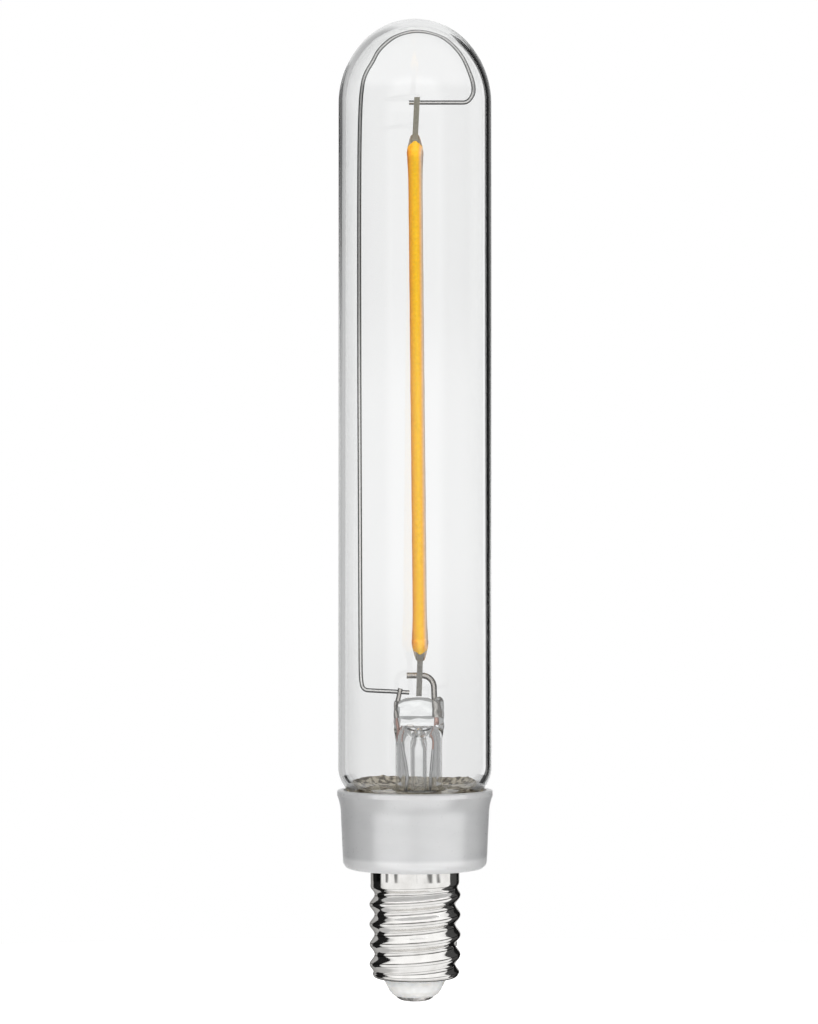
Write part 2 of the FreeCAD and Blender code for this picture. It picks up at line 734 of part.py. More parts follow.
def build():
    """Every piece by its node name."""
    leads = [make_left_inner_lead(), make_right_inner_lead()]
    outer_leads = [make_outer_lead(left_seal_foot, stem_x - outer_left_waist, left_pad, -1),
                   make_outer_lead(right_seal_foot, stem_x + outer_right_waist, right_pad, 1)]
    left_seal = straight_wire(left_seal_top, left_seal_foot, seal_wire_d).cut(leads + outer_leads)
    right_seal = straight_wire(right_seal_top, right_seal_foot, seal_wire_d).cut(leads + outer_leads)
    pins = [make_top_pin(), make_bottom_pin()]
    substrate, chips = make_substrate(), make_chips()
    return {
        "glass_envelope": make_glass_envelope(),
        "stem_glass": make_stem_glass(leads + outer_leads + [left_seal, right_seal]),
        "exhaust_tube": make_exhaust_tube(),
        "top_support_wire": make_support_wire(),
        "left_inner_lead": leads[0],
        "right_inner_lead": leads[1],
        "left_seal_wire": left_seal,
        "right_seal_wire": right_seal,
        "left_outer_lead": outer_leads[0],
        "right_outer_lead": outer_leads[1],
        "filament_strip": substrate,
        "filament_chips": chips,
        "phosphor_coat": make_phosphor_coat(pins + [substrate, chips]),
        "filament_top_pin": pins[0],
        "filament_bottom_pin": pins[1],
        "collar": make_collar(),
        "glass_glue": make_glass_glue(),
        "screw_shell": make_screw_shell(),
        "insulator": make_insulator(),
        "centre_contact": make_centre_contact(),
        "driver_board": make_driver_board(),
        "bridge_rectifier": surface_package(bridge_size, 1),
        "driver_chip": surface_package(chip_size, -1),
        "capacitor": make_capacitor(),
        "fuse_resistor": make_fuse_resistor(),
        "contact_lead": make_contact_lead(),
        "shell_lead": make_shell_lead(),
    }


os.makedirs("parts", exist_ok=True)
for node, shape in build().items():
    shape.exportStep("parts/" + node + ".step")
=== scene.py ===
import math

import bpy
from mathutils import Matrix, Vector, noise


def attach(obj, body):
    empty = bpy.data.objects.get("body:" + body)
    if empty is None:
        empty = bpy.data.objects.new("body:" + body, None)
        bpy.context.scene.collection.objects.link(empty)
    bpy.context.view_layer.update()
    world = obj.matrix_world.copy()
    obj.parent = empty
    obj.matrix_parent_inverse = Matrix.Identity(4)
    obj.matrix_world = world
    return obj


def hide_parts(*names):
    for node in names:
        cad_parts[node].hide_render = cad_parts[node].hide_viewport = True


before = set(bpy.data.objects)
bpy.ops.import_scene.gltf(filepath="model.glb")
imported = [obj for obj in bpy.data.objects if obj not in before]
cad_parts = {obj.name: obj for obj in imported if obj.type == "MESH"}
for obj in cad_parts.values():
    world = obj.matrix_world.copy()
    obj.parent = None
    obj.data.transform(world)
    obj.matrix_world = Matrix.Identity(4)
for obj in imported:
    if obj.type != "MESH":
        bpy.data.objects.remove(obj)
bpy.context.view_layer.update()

MM = 0.001
BODY = "root"

# Sizes shared with the solids, in millimetres

GLASS_R = 9.9
GLASS_WALL = 0.85
GLASS_TOP = 126.5
DOME_BASE = 115.6
CROWN_R = 9.3
GLASS_BOTTOM = 25.6
GLASS_FLOOR = 26.45
GLASS_CORNER_R = 4.3
STEM_X = 0.5
TUBE_R = 3.0
BORE_R = 2.3
MOUTH_R = 2.9
FILLET_R = 1.0
PINCH_Z = 33.0
PRESS_Z = 35.15
PRESS_TOP = 38.65
JAW_Z = 36.1
JAW_STEP = 0.18
PRESS_HALF_WIDTH = 3.25
PRESS_HALF_DEPTH = 1.3
CAVITY_RISE = 0.05
PLUG_R = 1.76
PLUG_Z = 33.05
EXHAUST_R = 1.05
EXHAUST_BORE_R = 0.75
EXHAUST_TIP = 24.15
BLOW_HOLE_R = 0.72
BLOW_HOLE_Z = 34.05

SHEET = 0.3
THREAD_MEAN_R = 5.525
THREAD_AMPLITUDE = 0.325
THREAD_PITCH = 2.54
THREAD_CREST_Z = 10.95
BAND_R = 5.7
BAND_TOP = 16.8
BASE_RIM_Z = 2.9
BASE_RIM_BORE_R = 4.12
BASE_BEND_R = 0.6
STAKE_COUNT = 18
STAKE_TURN = 9.0
STAKE_WIDTH = 1.2
STAKE_LOW = 15.4
STAKE_HIGH = 17.2
STAKE_DEPTH = 0.015

FLOOR_Z = -45.0


def lerp(a, b, share):
    return a + (b - a) * share


def smooth(low, high, value):
    share = min(1.0, max(0.0, (value - low) / (high - low)))
    return share * share * (3 - 2 * share)


# Camera

VIEW_HEIGHT = 1024
PX_PER_MM = 7.75
TARGET = Vector((-0.77, 0.0, 62.62))
CAMERA_DISTANCE = 360.0
CAMERA_ELEVATION = -2.0
SENSOR = 36.0


def make_camera():
    data = bpy.data.cameras.new("camera")
    data.sensor_width = SENSOR
    data.lens = SENSOR * CAMERA_DISTANCE * PX_PER_MM / VIEW_HEIGHT
    data.clip_start, data.clip_end = 0.02, 50.0
    camera = bpy.data.objects.new("camera", data)
    tilt = math.radians(CAMERA_ELEVATION)
    back = Vector((0, -math.cos(tilt), math.sin(tilt)))
    camera.location = (TARGET + back * CAMERA_DISTANCE) * MM
    camera.rotation_euler = (-back).to_track_quat("-Z", "Y").to_euler()
    bpy.context.scene.collection.objects.link(camera)
    bpy.context.scene.camera = camera


# Mesh helpers

OVAL_STRAIGHTNESS = 3.0
DOME_STEPS = 22


def add_mesh(name, points, faces, sharp_angle=40.0):
    """A smooth-shaded mesh from points in millimetres."""
    mesh = bpy.data.meshes.new(name)
    mesh.from_pydata([Vector(p) * MM for p in points], [], faces)
    mesh.validate()
    return add_object(name, mesh, sharp_angle)


def add_object(name, mesh, sharp_angle):
    mesh.shade_smooth()
    mesh.set_sharp_from_angle(angle=math.radians(sharp_angle))
    piece = bpy.data.objects.new(name, mesh)
    bpy.context.scene.collection.objects.link(piece)
    return piece


def skin(rings, points, faces, flip=False, closed=False):
    """Joins rings of equal count with quads. A ring of one point closes an end."""
    starts = []
    for ring in rings:
        starts.append(len(points))
        points.extend(ring)
    pairs = list(zip(range(len(rings)), range(1, len(rings))))
    if closed:
        pairs.append((len(rings) - 1, 0))
    for a, b in pairs:
        count = max(len(rings[a]), len(rings[b]))
        for j in range(count):
            k = (j + 1) % count
            upper = [starts[a]] if len(rings[a]) == 1 else [starts[a] + j, starts[a] + k]
            lower = [starts[b]] if len(rings[b]) == 1 else [starts[b] + j, starts[b] + k]
            face = [upper[0]] + lower + upper[:0:-1]
            faces.append(face[::-1] if flip else face)


def oval(half_width, half_depth, z, count, centre_x=0.0):
    """A ring that goes from a circle to a shape with straight sides and round ends."""
    straight = half_width - half_depth
    ring = []
    for j in range(count):
        turn = 2 * math.pi * j / count
        along = max(-1.0, min(1.0, OVAL_STRAIGHTNESS * math.cos(turn)))
        along = 1.5 * along - 0.5 * along ** 3
        x = half_depth * math.cos(turn) + straight * along
        ring.append((centre_x + x, half_depth * math.sin(turn), z))
    return ring


def circle(radius, z, count, centre_x=0.0):
    if radius <= 0:
        return [(centre_x, 0.0, z)]
    return oval(radius, radius, z, count, centre_x)


def arc_points(centre_r, centre_z, radius, start, end, steps):
    """Points (r, z) on part of a circle, by its angles in degrees."""
    turns = [math.radians(lerp(start, end, i / steps)) for i in range(steps + 1)]
    return [(centre_r + radius * math.cos(t), centre_z + radius * math.sin(t)) for t in turns]


def dome_outline(inset):
    """Half outline of the dome from its top to its base: a crown arc and a shoulder arc."""
    crown_z = GLASS_TOP - CROWN_R
    rise = crown_z - DOME_BASE
    shoulder_r = (CROWN_R ** 2 - GLASS_R ** 2 - rise ** 2) / (2 * (CROWN_R - GLASS_R))
    shoulder_x = GLASS_R - shoulder_r
    joint = math.degrees(math.atan2(rise, -shoulder_x))
    crown = arc_points(0.0, crown_z, CROWN_R - inset, 90, joint, DOME_STEPS)
    shoulder = arc_points(shoulder_x, DOME_BASE, shoulder_r - inset, joint, 0, DOME_STEPS)
    crown[0] = (0.0, GLASS_TOP - inset)
    return crown + shoulder[1:]


# Glass: envelope, stem and exhaust tube as one body of glass

GLASS_COUNT = 224
WALL_ROWS = 12
CORNER_STEPS = 16
PINCH_ROWS = 8
PLUG_ROWS = 4
PRESS_ROWS = 18
# Each wave of the wall as (size, waves round the wall, start)
WALL_WAVES = ((0.010, 3, 0.7), (0.006, 7, 2.1), (0.004, 13, 0.0))
# Each bump or dip of the press's top edge as (height, place across, half width)
EDGE_BUMPS = ((-0.3, -2.5, 0.45), (-0.22, 1.75, 0.35), (0.33, 2.75, 0.5))
EDGE_CROWN = 0.12
EDGE_CROWN_WIDTH = 3.4
EDGE_RISE = (PRESS_TOP - 1.6, PRESS_TOP - 0.3)
JAW_EDGE = (JAW_Z + 0.15, JAW_Z - 0.1)
WALL_WAVES_EDGE = (DOME_BASE + 8, DOME_BASE)
CAVITY_HALF_DEPTH = 0.6
# The cavity's roof as (half width, half depth, rise)
CAVITY_ROOF = ((2.22, 0.56, 0.12), (2.08, 0.5, 0.2), (1.93, 0.45, 0.12))
PLUG_SIDE_R = PLUG_R + 0.04
PLUG_HALF_DEPTH = 1.2
PLUG_TOP_HALF_DEPTH = 0.45
PRESS_ROUND = 0.55
PRESS_SHRINK = 0.6
PRESS_LUMPS = 0.08
PINCH_LUMPS = 0.3
TOP_LUMPS = 0.02
# How quickly the lumps change along x, y and z, and where they are read for each direction
LUMP_SCALE = Vector((1.1, 0.9, 1.3))
SIDE_LUMPS_AT = Vector((0, 5, 0))
FRONT_LUMPS_AT = Vector((9, 8, 1))
BORE_HEIGHTS = (26.8, 28.0, 29.5, 31.0, 32.2, 32.8)
TUBE_HEIGHTS = (28.4, 29.6, 30.8, 31.8, 32.5)
EXHAUST_HEIGHTS = (33.1, 32.6, 31.0, 29.0, 27.0, 25.6)
EXHAUST_BORE_HEIGHTS = (32.3, 31.0, 29.0, 27.0, 25.4)
EXHAUST_NECK_HEIGHTS = (33.2, 32.9)
EXHAUST_NECK_SHARE = 0.7
# Shares of the way from the wall's corner to the stem
BOTTOM_SHARES = (0.25, 0.5, 0.75, 1.0)
INNER_BOTTOM_SHARES = (0.3, 0.6, 0.9, 1.0)
# The melted mouth of the stem's bore as (radius, rise)
MOUTH = ((MOUTH_R + 0.08, 0.08), (MOUTH_R, 0.3), (lerp(MOUTH_R, BORE_R, 0.6), 0.8))


def drift(share):
    """Slow waver of the drawn tube's wall round its circumference, in millimetres."""
    turn = 2 * math.pi * share
    return sum(size * math.sin(count * turn + start) for size, count, start in WALL_WAVES)


def wall_ring(radius, z, amount=0.0):
    """A ring of the wall, wavering by an amount."""
    ring = circle(radius, z, GLASS_COUNT)
    if len(ring) == 1 or amount == 0.0:
        return ring
    out = []
    for j, (x, y, height) in enumerate(ring):
        scale = 1 + amount * drift(j / GLASS_COUNT) / radius
        out.append((x * scale, y * scale, height))
    return out


def shifted(radius, z, share=1.0):
    """A ring between the envelope's axis at share 0 and the stem's at 1."""
    return circle(radius, z, GLASS_COUNT, STEM_X * share)


def press_edge(across, z):
    """How far the press's top edge rises or dips at a place across it: crowned, lower at the leads
    and with a knob of glass over the right one."""
    rise = EDGE_CROWN * math.cos(across * math.pi / EDGE_CROWN_WIDTH)
    for height, place, half_width in EDGE_BUMPS:
        rise += height * math.exp(-((across - place) / half_width) ** 2)
    return rise * smooth(*EDGE_RISE, z)


def stem_ring(half_width, half_depth, z, lumps=0.0):
    """An oval of the stem, waved as far as the pinched glass is lumpy there."""
    ring = oval(half_width, half_depth, z, GLASS_COUNT, STEM_X)
    if lumps == 0.0:
        return ring
    out = []
    for x, y, height in ring:
        place = Vector((x, y, height)) * LUMP_SCALE
        side = 1 + lumps * noise.noise(place + SIDE_LUMPS_AT) / half_width
        front = 1 + lumps * noise.noise(place + FRONT_LUMPS_AT) / max(0.5, half_depth)
        out.append((STEM_X + (x - STEM_X) * side, y * front, height + press_edge(x - STEM_X, height)))
    return out


def cavity_rings():
    """The stem's bore where it is pinched flat, up to its arched roof."""
    top = PRESS_Z + CAVITY_RISE
    rings = []
    for step in range(1, PINCH_ROWS + 1):
        share = step / PINCH_ROWS
        half_depth = lerp(BORE_R, CAVITY_HALF_DEPTH, smooth(0, 1, share))
        rings.append(stem_ring(BORE_R, half_depth, lerp(PINCH_Z, top, share)))
    return rings + [stem_ring(width, depth, top + rise) for width, depth, rise in CAVITY_ROOF]


def plug_rings():
    """The glass that hangs in the cavity and carries the exhaust tube, from its top down."""
    shoulder = PLUG_Z + PLUG_R
    rings = []
    for step in range(PLUG_ROWS, -1, -1):
        share = step / PLUG_ROWS
        half_depth = lerp(PLUG_HALF_DEPTH, PLUG_TOP_HALF_DEPTH, smooth(0, 1, share))
        rings.append(stem_ring(PLUG_SIDE_R, half_depth, lerp(shoulder, PRESS_Z + CAVITY_RISE - 0.1, share)))
    for degrees in range(10, 60, 7):
        turn = math.radians(degrees)
        reach = PLUG_SIDE_R * math.cos(turn)
        half_depth = max(EXHAUST_R, min(PLUG_HALF_DEPTH, reach))
        rings.append(stem_ring(reach, half_depth, shoulder - PLUG_R * math.sin(turn)))
    return rings


def outer_glass_rings():
    """Dome, side, bottom, up the stem's bore, down the plug and the exhaust tube to its tip."""
    corner_z = GLASS_BOTTOM + GLASS_CORNER_R
    side = GLASS_R - GLASS_CORNER_R
    rings = [wall_ring(r, z) for r, z in dome_outline(0.0)]
    rings += [wall_ring(GLASS_R, lerp(DOME_BASE, corner_z, i / WALL_ROWS)) for i in range(1, WALL_ROWS)]
    rings += [wall_ring(r, z) for r, z in arc_points(side, corner_z, GLASS_CORNER_R, 0, -90, CORNER_STEPS)]
    rings += [shifted(lerp(side, MOUTH_R + 0.3, s), GLASS_BOTTOM, s) for s in BOTTOM_SHARES]
    rings += [shifted(r, GLASS_BOTTOM + rise) for r, rise in MOUTH]
    rings += [shifted(BORE_R, z) for z in BORE_HEIGHTS]
    rings += cavity_rings() + plug_rings()
    rings += [shifted(EXHAUST_R, z) for z in EXHAUST_HEIGHTS]
    tip = arc_points(0.0, EXHAUST_TIP + EXHAUST_R, EXHAUST_R, 0, -90, 8)
    tip[-1] = (0.0, EXHAUST_TIP)
    return rings + [shifted(r, z) for r, z in tip]


def press_rings():
    """Outside of the stem's press, from where the tube is pinched to its lumpy top."""
    rings = []
    for step in range(PINCH_ROWS + 1):
        share = step / PINCH_ROWS
        eased = smooth(0, 1, share)
        half_width = lerp(TUBE_R, PRESS_HALF_WIDTH, eased)
        half_depth = lerp(TUBE_R, PRESS_HALF_DEPTH, eased)
        lumps = PINCH_LUMPS * eased * (1 - 0.6 * share)
        rings.append(stem_ring(half_width, half_depth, lerp(PINCH_Z, PRESS_Z, share), lumps))
    round_z = PRESS_TOP - PRESS_ROUND
    for step in range(1, PRESS_ROWS + 1):
        z = lerp(PRESS_Z, round_z, step / PRESS_ROWS)
        ridge = JAW_STEP * smooth(*JAW_EDGE, z)
        rings.append(stem_ring(PRESS_HALF_WIDTH, PRESS_HALF_DEPTH + ridge, z, PRESS_LUMPS))
    for degrees in range(10, 90, 10):
        turn = math.radians(degrees)
        shrink = PRESS_SHRINK * (1 - math.cos(turn))
        z = round_z + PRESS_ROUND * math.sin(turn)
        rings.append(stem_ring(PRESS_HALF_WIDTH - shrink, PRESS_HALF_DEPTH - shrink, z, PRESS_LUMPS))
    rings += [stem_ring(width, depth, PRESS_TOP, TOP_LUMPS) for width, depth in ((2.2, 0.5), (1.6, 0.25))]
    return rings + [[(STEM_X, 0.0, PRESS_TOP + 0.1)]]


def gas_space_rings():
    """Inside of the dome, side and bottom, then up the outside of the stem to the top of its press."""
    inner_r = GLASS_R - GLASS_WALL
    corner_z = GLASS_BOTTOM + GLASS_CORNER_R
    side = GLASS_R - GLASS_CORNER_R
    foot = TUBE_R + FILLET_R
    rings = [wall_ring(r, z, smooth(*WALL_WAVES_EDGE, z)) for r, z in dome_outline(GLASS_WALL)]
    rings += [wall_ring(inner_r, lerp(DOME_BASE, corner_z, i / WALL_ROWS), 1.0) for i in range(1, WALL_ROWS)]
    corner = arc_points(side, corner_z, GLASS_CORNER_R - GLASS_WALL, 0, -90, CORNER_STEPS)
    rings += [wall_ring(r, z, 1.0 if i == 0 else 0.0) for i, (r, z) in enumerate(corner)]
    rings += [shifted(lerp(side, foot, s), GLASS_FLOOR, s) for s in INNER_BOTTOM_SHARES]
    fillet = arc_points(foot, GLASS_FLOOR + FILLET_R, FILLET_R, 270, 180, 10)
    rings += [shifted(r, z) for r, z in fillet[1:]]
    rings += [shifted(TUBE_R, z) for z in TUBE_HEIGHTS]
    return rings + press_rings()


def exhaust_bore_rings():
    """Hollow of the exhaust tube and the blow hole at its top."""
    rings = [[(STEM_X, 0.0, BLOW_HOLE_Z + BLOW_HOLE_R)]]
    for degrees in range(75, -60, -15):
        turn = math.radians(degrees)
        rings.append(shifted(BLOW_HOLE_R * math.cos(turn), BLOW_HOLE_Z + BLOW_HOLE_R * math.sin(turn)))
    rings += [shifted(EXHAUST_BORE_R * EXHAUST_NECK_SHARE, z) for z in EXHAUST_NECK_HEIGHTS]
    rings += [shifted(EXHAUST_BORE_R, z) for z in EXHAUST_BORE_HEIGHTS]
    tip = arc_points(0.0, EXHAUST_TIP + EXHAUST_R, EXHAUST_BORE_R, 0, -90, 6)
    tip[-1] = (0.0, EXHAUST_TIP + EXHAUST_R - EXHAUST_BORE_R)
    return rings + [shifted(r, z) for r, z in tip]


def make_glass():
    points, faces = [], []
    skin(outer_glass_rings(), points, faces)
    skin(gas_space_rings(), points, faces, flip=True)
    skin(exhaust_bore_rings(), points, faces, flip=True)
    piece = add_mesh("bulb_glass", points, faces, 60.0)
    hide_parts("glass_envelope", "stem_glass", "exhaust_tube")
    return piece


# Cement under and round the glass

GLUE_LOW = 24.6
GLUE_BORE_R = 2.8
GLUE_STEM_R = 3.25
GLUE_SIDE_R = 8.53
GLUE_COUNT = 240
GLUE_CLIMB_FRONT = 40.0
GLUE_CLIMB_BACK = 58.0
GLUE_CLIMB_STEPS = 8
GLUE_SUNK = 0.08
GLUE_PROUD = 0.1
GLUE_LUMP = 0.04
GLUE_LUMP_SCALE = 1.4
# How many degrees the cement's edge wanders up and down, and how quickly round the glass
GLUE_WAVE, GLUE_WAVE_SCALE = 4, 3
GLUE_RIPPLE, GLUE_RIPPLE_SCALE = 3, 11


def glue_ring(radius, z, share, lump=0.0):
    """A ring about the stem's axis at share 1 and about the envelope's at 0, uneven by a height."""
    ring = []
    for j in range(GLUE_COUNT):
        turn = 2 * math.pi * j / GLUE_COUNT
        x, y = radius * math.cos(turn) + STEM_X * share, radius * math.sin(turn)
        bump = lump * noise.noise(Vector((x * GLUE_LUMP_SCALE, y * GLUE_LUMP_SCALE, z)))
        ring.append((x, y, z + bump))
    return ring


def ring_noise(turn, scale, level):
    return noise.noise(Vector((scale * math.cos(turn), scale * math.sin(turn), level)))


def glue_edge_ring(inset, steps_done):
    """A ring on the glass's rounded corner, wandering up and down round the lip."""
    ring = []
    for j in range(GLUE_COUNT):
        turn = 2 * math.pi * j / GLUE_COUNT
        wave = GLUE_WAVE * ring_noise(turn, GLUE_WAVE_SCALE, 1.0)
        ripple = GLUE_RIPPLE * ring_noise(turn, GLUE_RIPPLE_SCALE, 5.0)
        high = lerp(GLUE_CLIMB_FRONT, GLUE_CLIMB_BACK, smooth(-0.3, 0.7, math.sin(turn)))
        climb = math.radians((high + wave + ripple) * steps_done)
        r = GLASS_R - GLASS_CORNER_R + (GLASS_CORNER_R - inset) * math.sin(climb)
        z = GLASS_BOTTOM + GLASS_CORNER_R - (GLASS_CORNER_R - inset) * math.cos(climb)
        ring.append((r * math.cos(turn), r * math.sin(turn), z))
    return ring


def make_glue():
    """Wets the glass: its upper face lies just inside the glass, so no air shows between them."""
    wet_z = GLASS_BOTTOM + GLUE_SUNK
    side = GLASS_R - GLASS_CORNER_R
    rings = [glue_ring(GLUE_BORE_R, GLUE_LOW, 1), glue_ring(GLUE_STEM_R, wet_z, 1)]
    rings += [glue_ring(lerp(3.6, side, s), wet_z, 1 - s, GLUE_LUMP) for s in (0.0, 0.25, 0.5, 0.75)]
    rings += [glue_edge_ring(GLUE_SUNK, i / GLUE_CLIMB_STEPS) for i in range(GLUE_CLIMB_STEPS + 1)]
    rings += [glue_edge_ring(-GLUE_PROUD, 1.0),
              glue_ring(GLUE_SIDE_R, GLUE_LOW + 0.6, 0),
              glue_ring(GLUE_SIDE_R, GLUE_LOW, 0)]
    points, faces = [], []
    skin(rings, points, faces, flip=True, closed=True)
    piece = add_mesh("glue", points, faces, 60.0)
    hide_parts("glass_glue")
    return piece


# Screw base

BASE_COUNT = 360
BAND_STEP = 0.1
BAND_ROWS = 24
THREAD_TOP_Z = 14.35
OUTER_ROWS = 106
INNER_ROWS = 44
BEND_STEPS = 10
BEND_THREAD = 0.25
# Heights between which the sheet leans in to the thread, and the thread fades in at each end
LEAN_EDGE = (15.2, 13.9)
THREAD_TOP_EDGE = (15.1, 13.8)
THREAD_LOW_EDGE = (BASE_RIM_Z + 0.2, 3.9)
STAKE_SOFT_SIDE = 0.07
STAKE_SOFT_END = 0.3


def base_station(z, outside):
    """A row of the sheet as (radius, height, share of thread, outside or not). The rolled thread
    fades out under the plain band and at the rim."""
    radius = lerp(BAND_R, THREAD_MEAN_R, smooth(*LEAN_EDGE, z))
    share = smooth(*THREAD_TOP_EDGE, z) * smooth(*THREAD_LOW_EDGE, z)
    return (radius if outside else radius - SHEET), z, share, outside


def base_stations():
    """The sheet's closed section: down its outside, round the rim and up its inside."""
    low = BASE_RIM_Z + BASE_BEND_R
    bend_x = THREAD_MEAN_R - BASE_BEND_R
    rows = [base_station(BAND_TOP - BAND_STEP * i, True) for i in range(BAND_ROWS)]
    rows += [base_station(lerp(THREAD_TOP_Z, low, i / OUTER_ROWS), True) for i in range(OUTER_ROWS + 1)]
    for i in range(1, BEND_STEPS + 1):
        turn = math.radians(-90 * i / BEND_STEPS)
        share = BEND_THREAD * max(0.0, math.cos(turn))
        rows.append((bend_x + BASE_BEND_R * math.cos(turn), low + BASE_BEND_R * math.sin(turn), share, True))
    rows += [(lerp(bend_x, BASE_RIM_BORE_R, s), BASE_RIM_Z, 0.0, True) for s in (0.5, 1.0)]
    rows += [(r, BASE_RIM_Z + SHEET, 0.0, False) for r in (BASE_RIM_BORE_R, bend_x)]
    rows += [base_station(lerp(low, BAND_TOP, i / INNER_ROWS), False) for i in range(INNER_ROWS + 1)]
    return rows


def stake_depth(turn, z):
    """How deep the square marks that pinch the band onto the collar's neck go at a place."""
    step = 360.0 / STAKE_COUNT
    off = (math.degrees(turn) - STAKE_TURN + step / 2) % step - step / 2
    across = abs(math.radians(off)) * BAND_R
    side = smooth(STAKE_WIDTH / 2 + STAKE_SOFT_SIDE, STAKE_WIDTH / 2 - STAKE_SOFT_SIDE, across)
    bottom = smooth(STAKE_LOW - STAKE_SOFT_END, STAKE_LOW + STAKE_SOFT_END, z)
    top = smooth(STAKE_HIGH + STAKE_SOFT_END, STAKE_HIGH - STAKE_SOFT_END, z)
    return STAKE_DEPTH * side * bottom * top


def make_screw_base():
    rings = []
    for radius, z, share, outside in base_stations():
        ring = []
        for j in range(BASE_COUNT):
            turn = 2 * math.pi * j / BASE_COUNT
            phase = 2 * math.pi * (z - THREAD_CREST_Z) / THREAD_PITCH - turn
            r = radius + share * THREAD_AMPLITUDE * math.cos(phase)
            if outside and z > STAKE_LOW - 0.2:
                r -= stake_depth(turn, z)
            ring.append((r * math.cos(turn), r * math.sin(turn), z))
        rings.append(ring)
    points, faces = [], []
    skin(rings, points, faces, closed=True)
    piece = add_mesh("threaded_base", points, faces, 50.0)
    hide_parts("screw_shell")
    return piece


# Light filament

FILAMENT_LOW = Vector((0.68, 0.0, 44.2))
FILAMENT_HIGH = Vector((0.03, 0.0, 110.7))
COAT_R = 0.89
COAT_COUNT = 48
COAT_ROWS = 60
COAT_MIDDLE_R = 0.885
COAT_WAVER = 0.025
# The coat's ends as (distance from the end, radius)
COAT_END = ((0.0, 0.0), (0.06, 0.12), (0.2, 0.25), (0.45, 0.41), (0.8, 0.62), (1.15, 0.82),
            (1.5, 0.96), (1.9, 1.02), (2.6, 1.0), (3.6, 0.94), (5.0, 0.90), (7.0, COAT_MIDDLE_R))
# A bead as (distance beyond the coat's end, radius)
BEAD = ((-1.97, 0.0), (-1.95, 1.05), (-1.5, 1.06), (-1.1, 1.0), (-0.7, 0.92), (-0.35, 0.83),
        (0.0, 0.74), (0.3, 0.66), (0.55, 0.58), (0.7, 0.49), (0.76, 0.4), (0.78, 0.0))


def filament_x(z):
    share = (z - FILAMENT_LOW.z) / (FILAMENT_HIGH.z - FILAMENT_LOW.z)
    return FILAMENT_LOW.lerp(FILAMENT_HIGH, share).x


def coat_ring(radius, z):
    centre_x = filament_x(z)
    if radius <= 0:
        return [(centre_x, 0.0, z)]
    turns = [2 * math.pi * j / COAT_COUNT for j in range(COAT_COUNT)]
    return [(centre_x + radius * math.cos(t), radius * math.sin(t), z) for t in turns]


def make_coat():
    """The cast phosphor, uneven along its length, swelling and then pointed at both ends."""
    rings = [coat_ring(r, FILAMENT_LOW.z + up) for up, r in COAT_END]
    end = COAT_END[-1][0]
    for i in range(1, COAT_ROWS):
        z = lerp(FILAMENT_LOW.z + end, FILAMENT_HIGH.z - end, i / COAT_ROWS)
        waver = COAT_WAVER * noise.noise(Vector((0.0, 4.0, z * 0.35)))
        rings.append(coat_ring(COAT_MIDDLE_R + waver, z))
    rings += [coat_ring(r, FILAMENT_HIGH.z - down) for down, r in reversed(COAT_END)]
    points, faces = [], []
    skin(rings, points, faces, flip=True)
    piece = add_mesh("phosphor", points, faces, 70.0)
    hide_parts("phosphor_coat")
    return piece


def make_bead(name, end, way):
    """A bead of clear silicone over one end of the coat, drawn out onto the pin."""
    points, faces = [], []
    skin([coat_ring(r, end + way * out) for out, r in BEAD], points, faces, flip=way > 0)
    piece = add_mesh(name, points, faces, 70.0)
    return piece


# Support wire

SUPPORT_DIAMETER = 0.55
SUPPORT_Y = 0.435
SUPPORT_ROUTE = ((-0.68, 39.35), (-1.9, 39.45), (-5.3, 39.6), (-6.75, 39.68), (-7.06, 41.0), (-7.1, 44.0),
                 (-7.18, 60.0), (-7.28, 80.0), (-7.32, 98.0), (-7.3, 108.0), (-7.22, 113.5), (-7.05, 117.2),
                 (-6.75, 119.1), (-6.15, 120.3), (-5.5, 121.3), (-4.95, 122.5), (-4.1, 123.45),
                 (-2.95, 124.4), (-1.45, 125.15), (0.3, 125.5), (2.2, 125.2), (3.8, 124.5), (5.15, 123.4),
                 (6.35, 121.95), (7.2, 120.0), (7.75, 118.3), (7.75, 116.9), (6.95, 115.78), (5.6, 115.78),
                 (3.0, 115.78), (-0.72, 115.78))


def make_support_wire():
    """A round wire along a smooth curve near its route's points, turned into a mesh."""
    data = bpy.data.curves.new("support_line", "CURVE")
    data.dimensions = "3D"
    data.bevel_depth = SUPPORT_DIAMETER / 2 * MM
    data.bevel_resolution = 6
    data.resolution_u = 10
    data.use_fill_caps = True
    spline = data.splines.new("NURBS")
    spline.points.add(len(SUPPORT_ROUTE) - 1)
    for target, (x, z) in zip(spline.points, SUPPORT_ROUTE):
        target.co = (*(Vector((x, SUPPORT_Y, z)) * MM), 1.0)
    spline.order_u = 3
    spline.use_endpoint_u = True
    line = bpy.data.objects.new("support_line", data)
    bpy.context.scene.collection.objects.link(line)
    mesh = bpy.data.meshes.new_from_object(line.evaluated_get(bpy.context.evaluated_depsgraph_get()))
    bpy.data.objects.remove(line)
    mesh.name = "support_wire"
    piece = add_object("support_wire", mesh, 50.0)
    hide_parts("top_support_wire")
    return piece


# Shader nodes

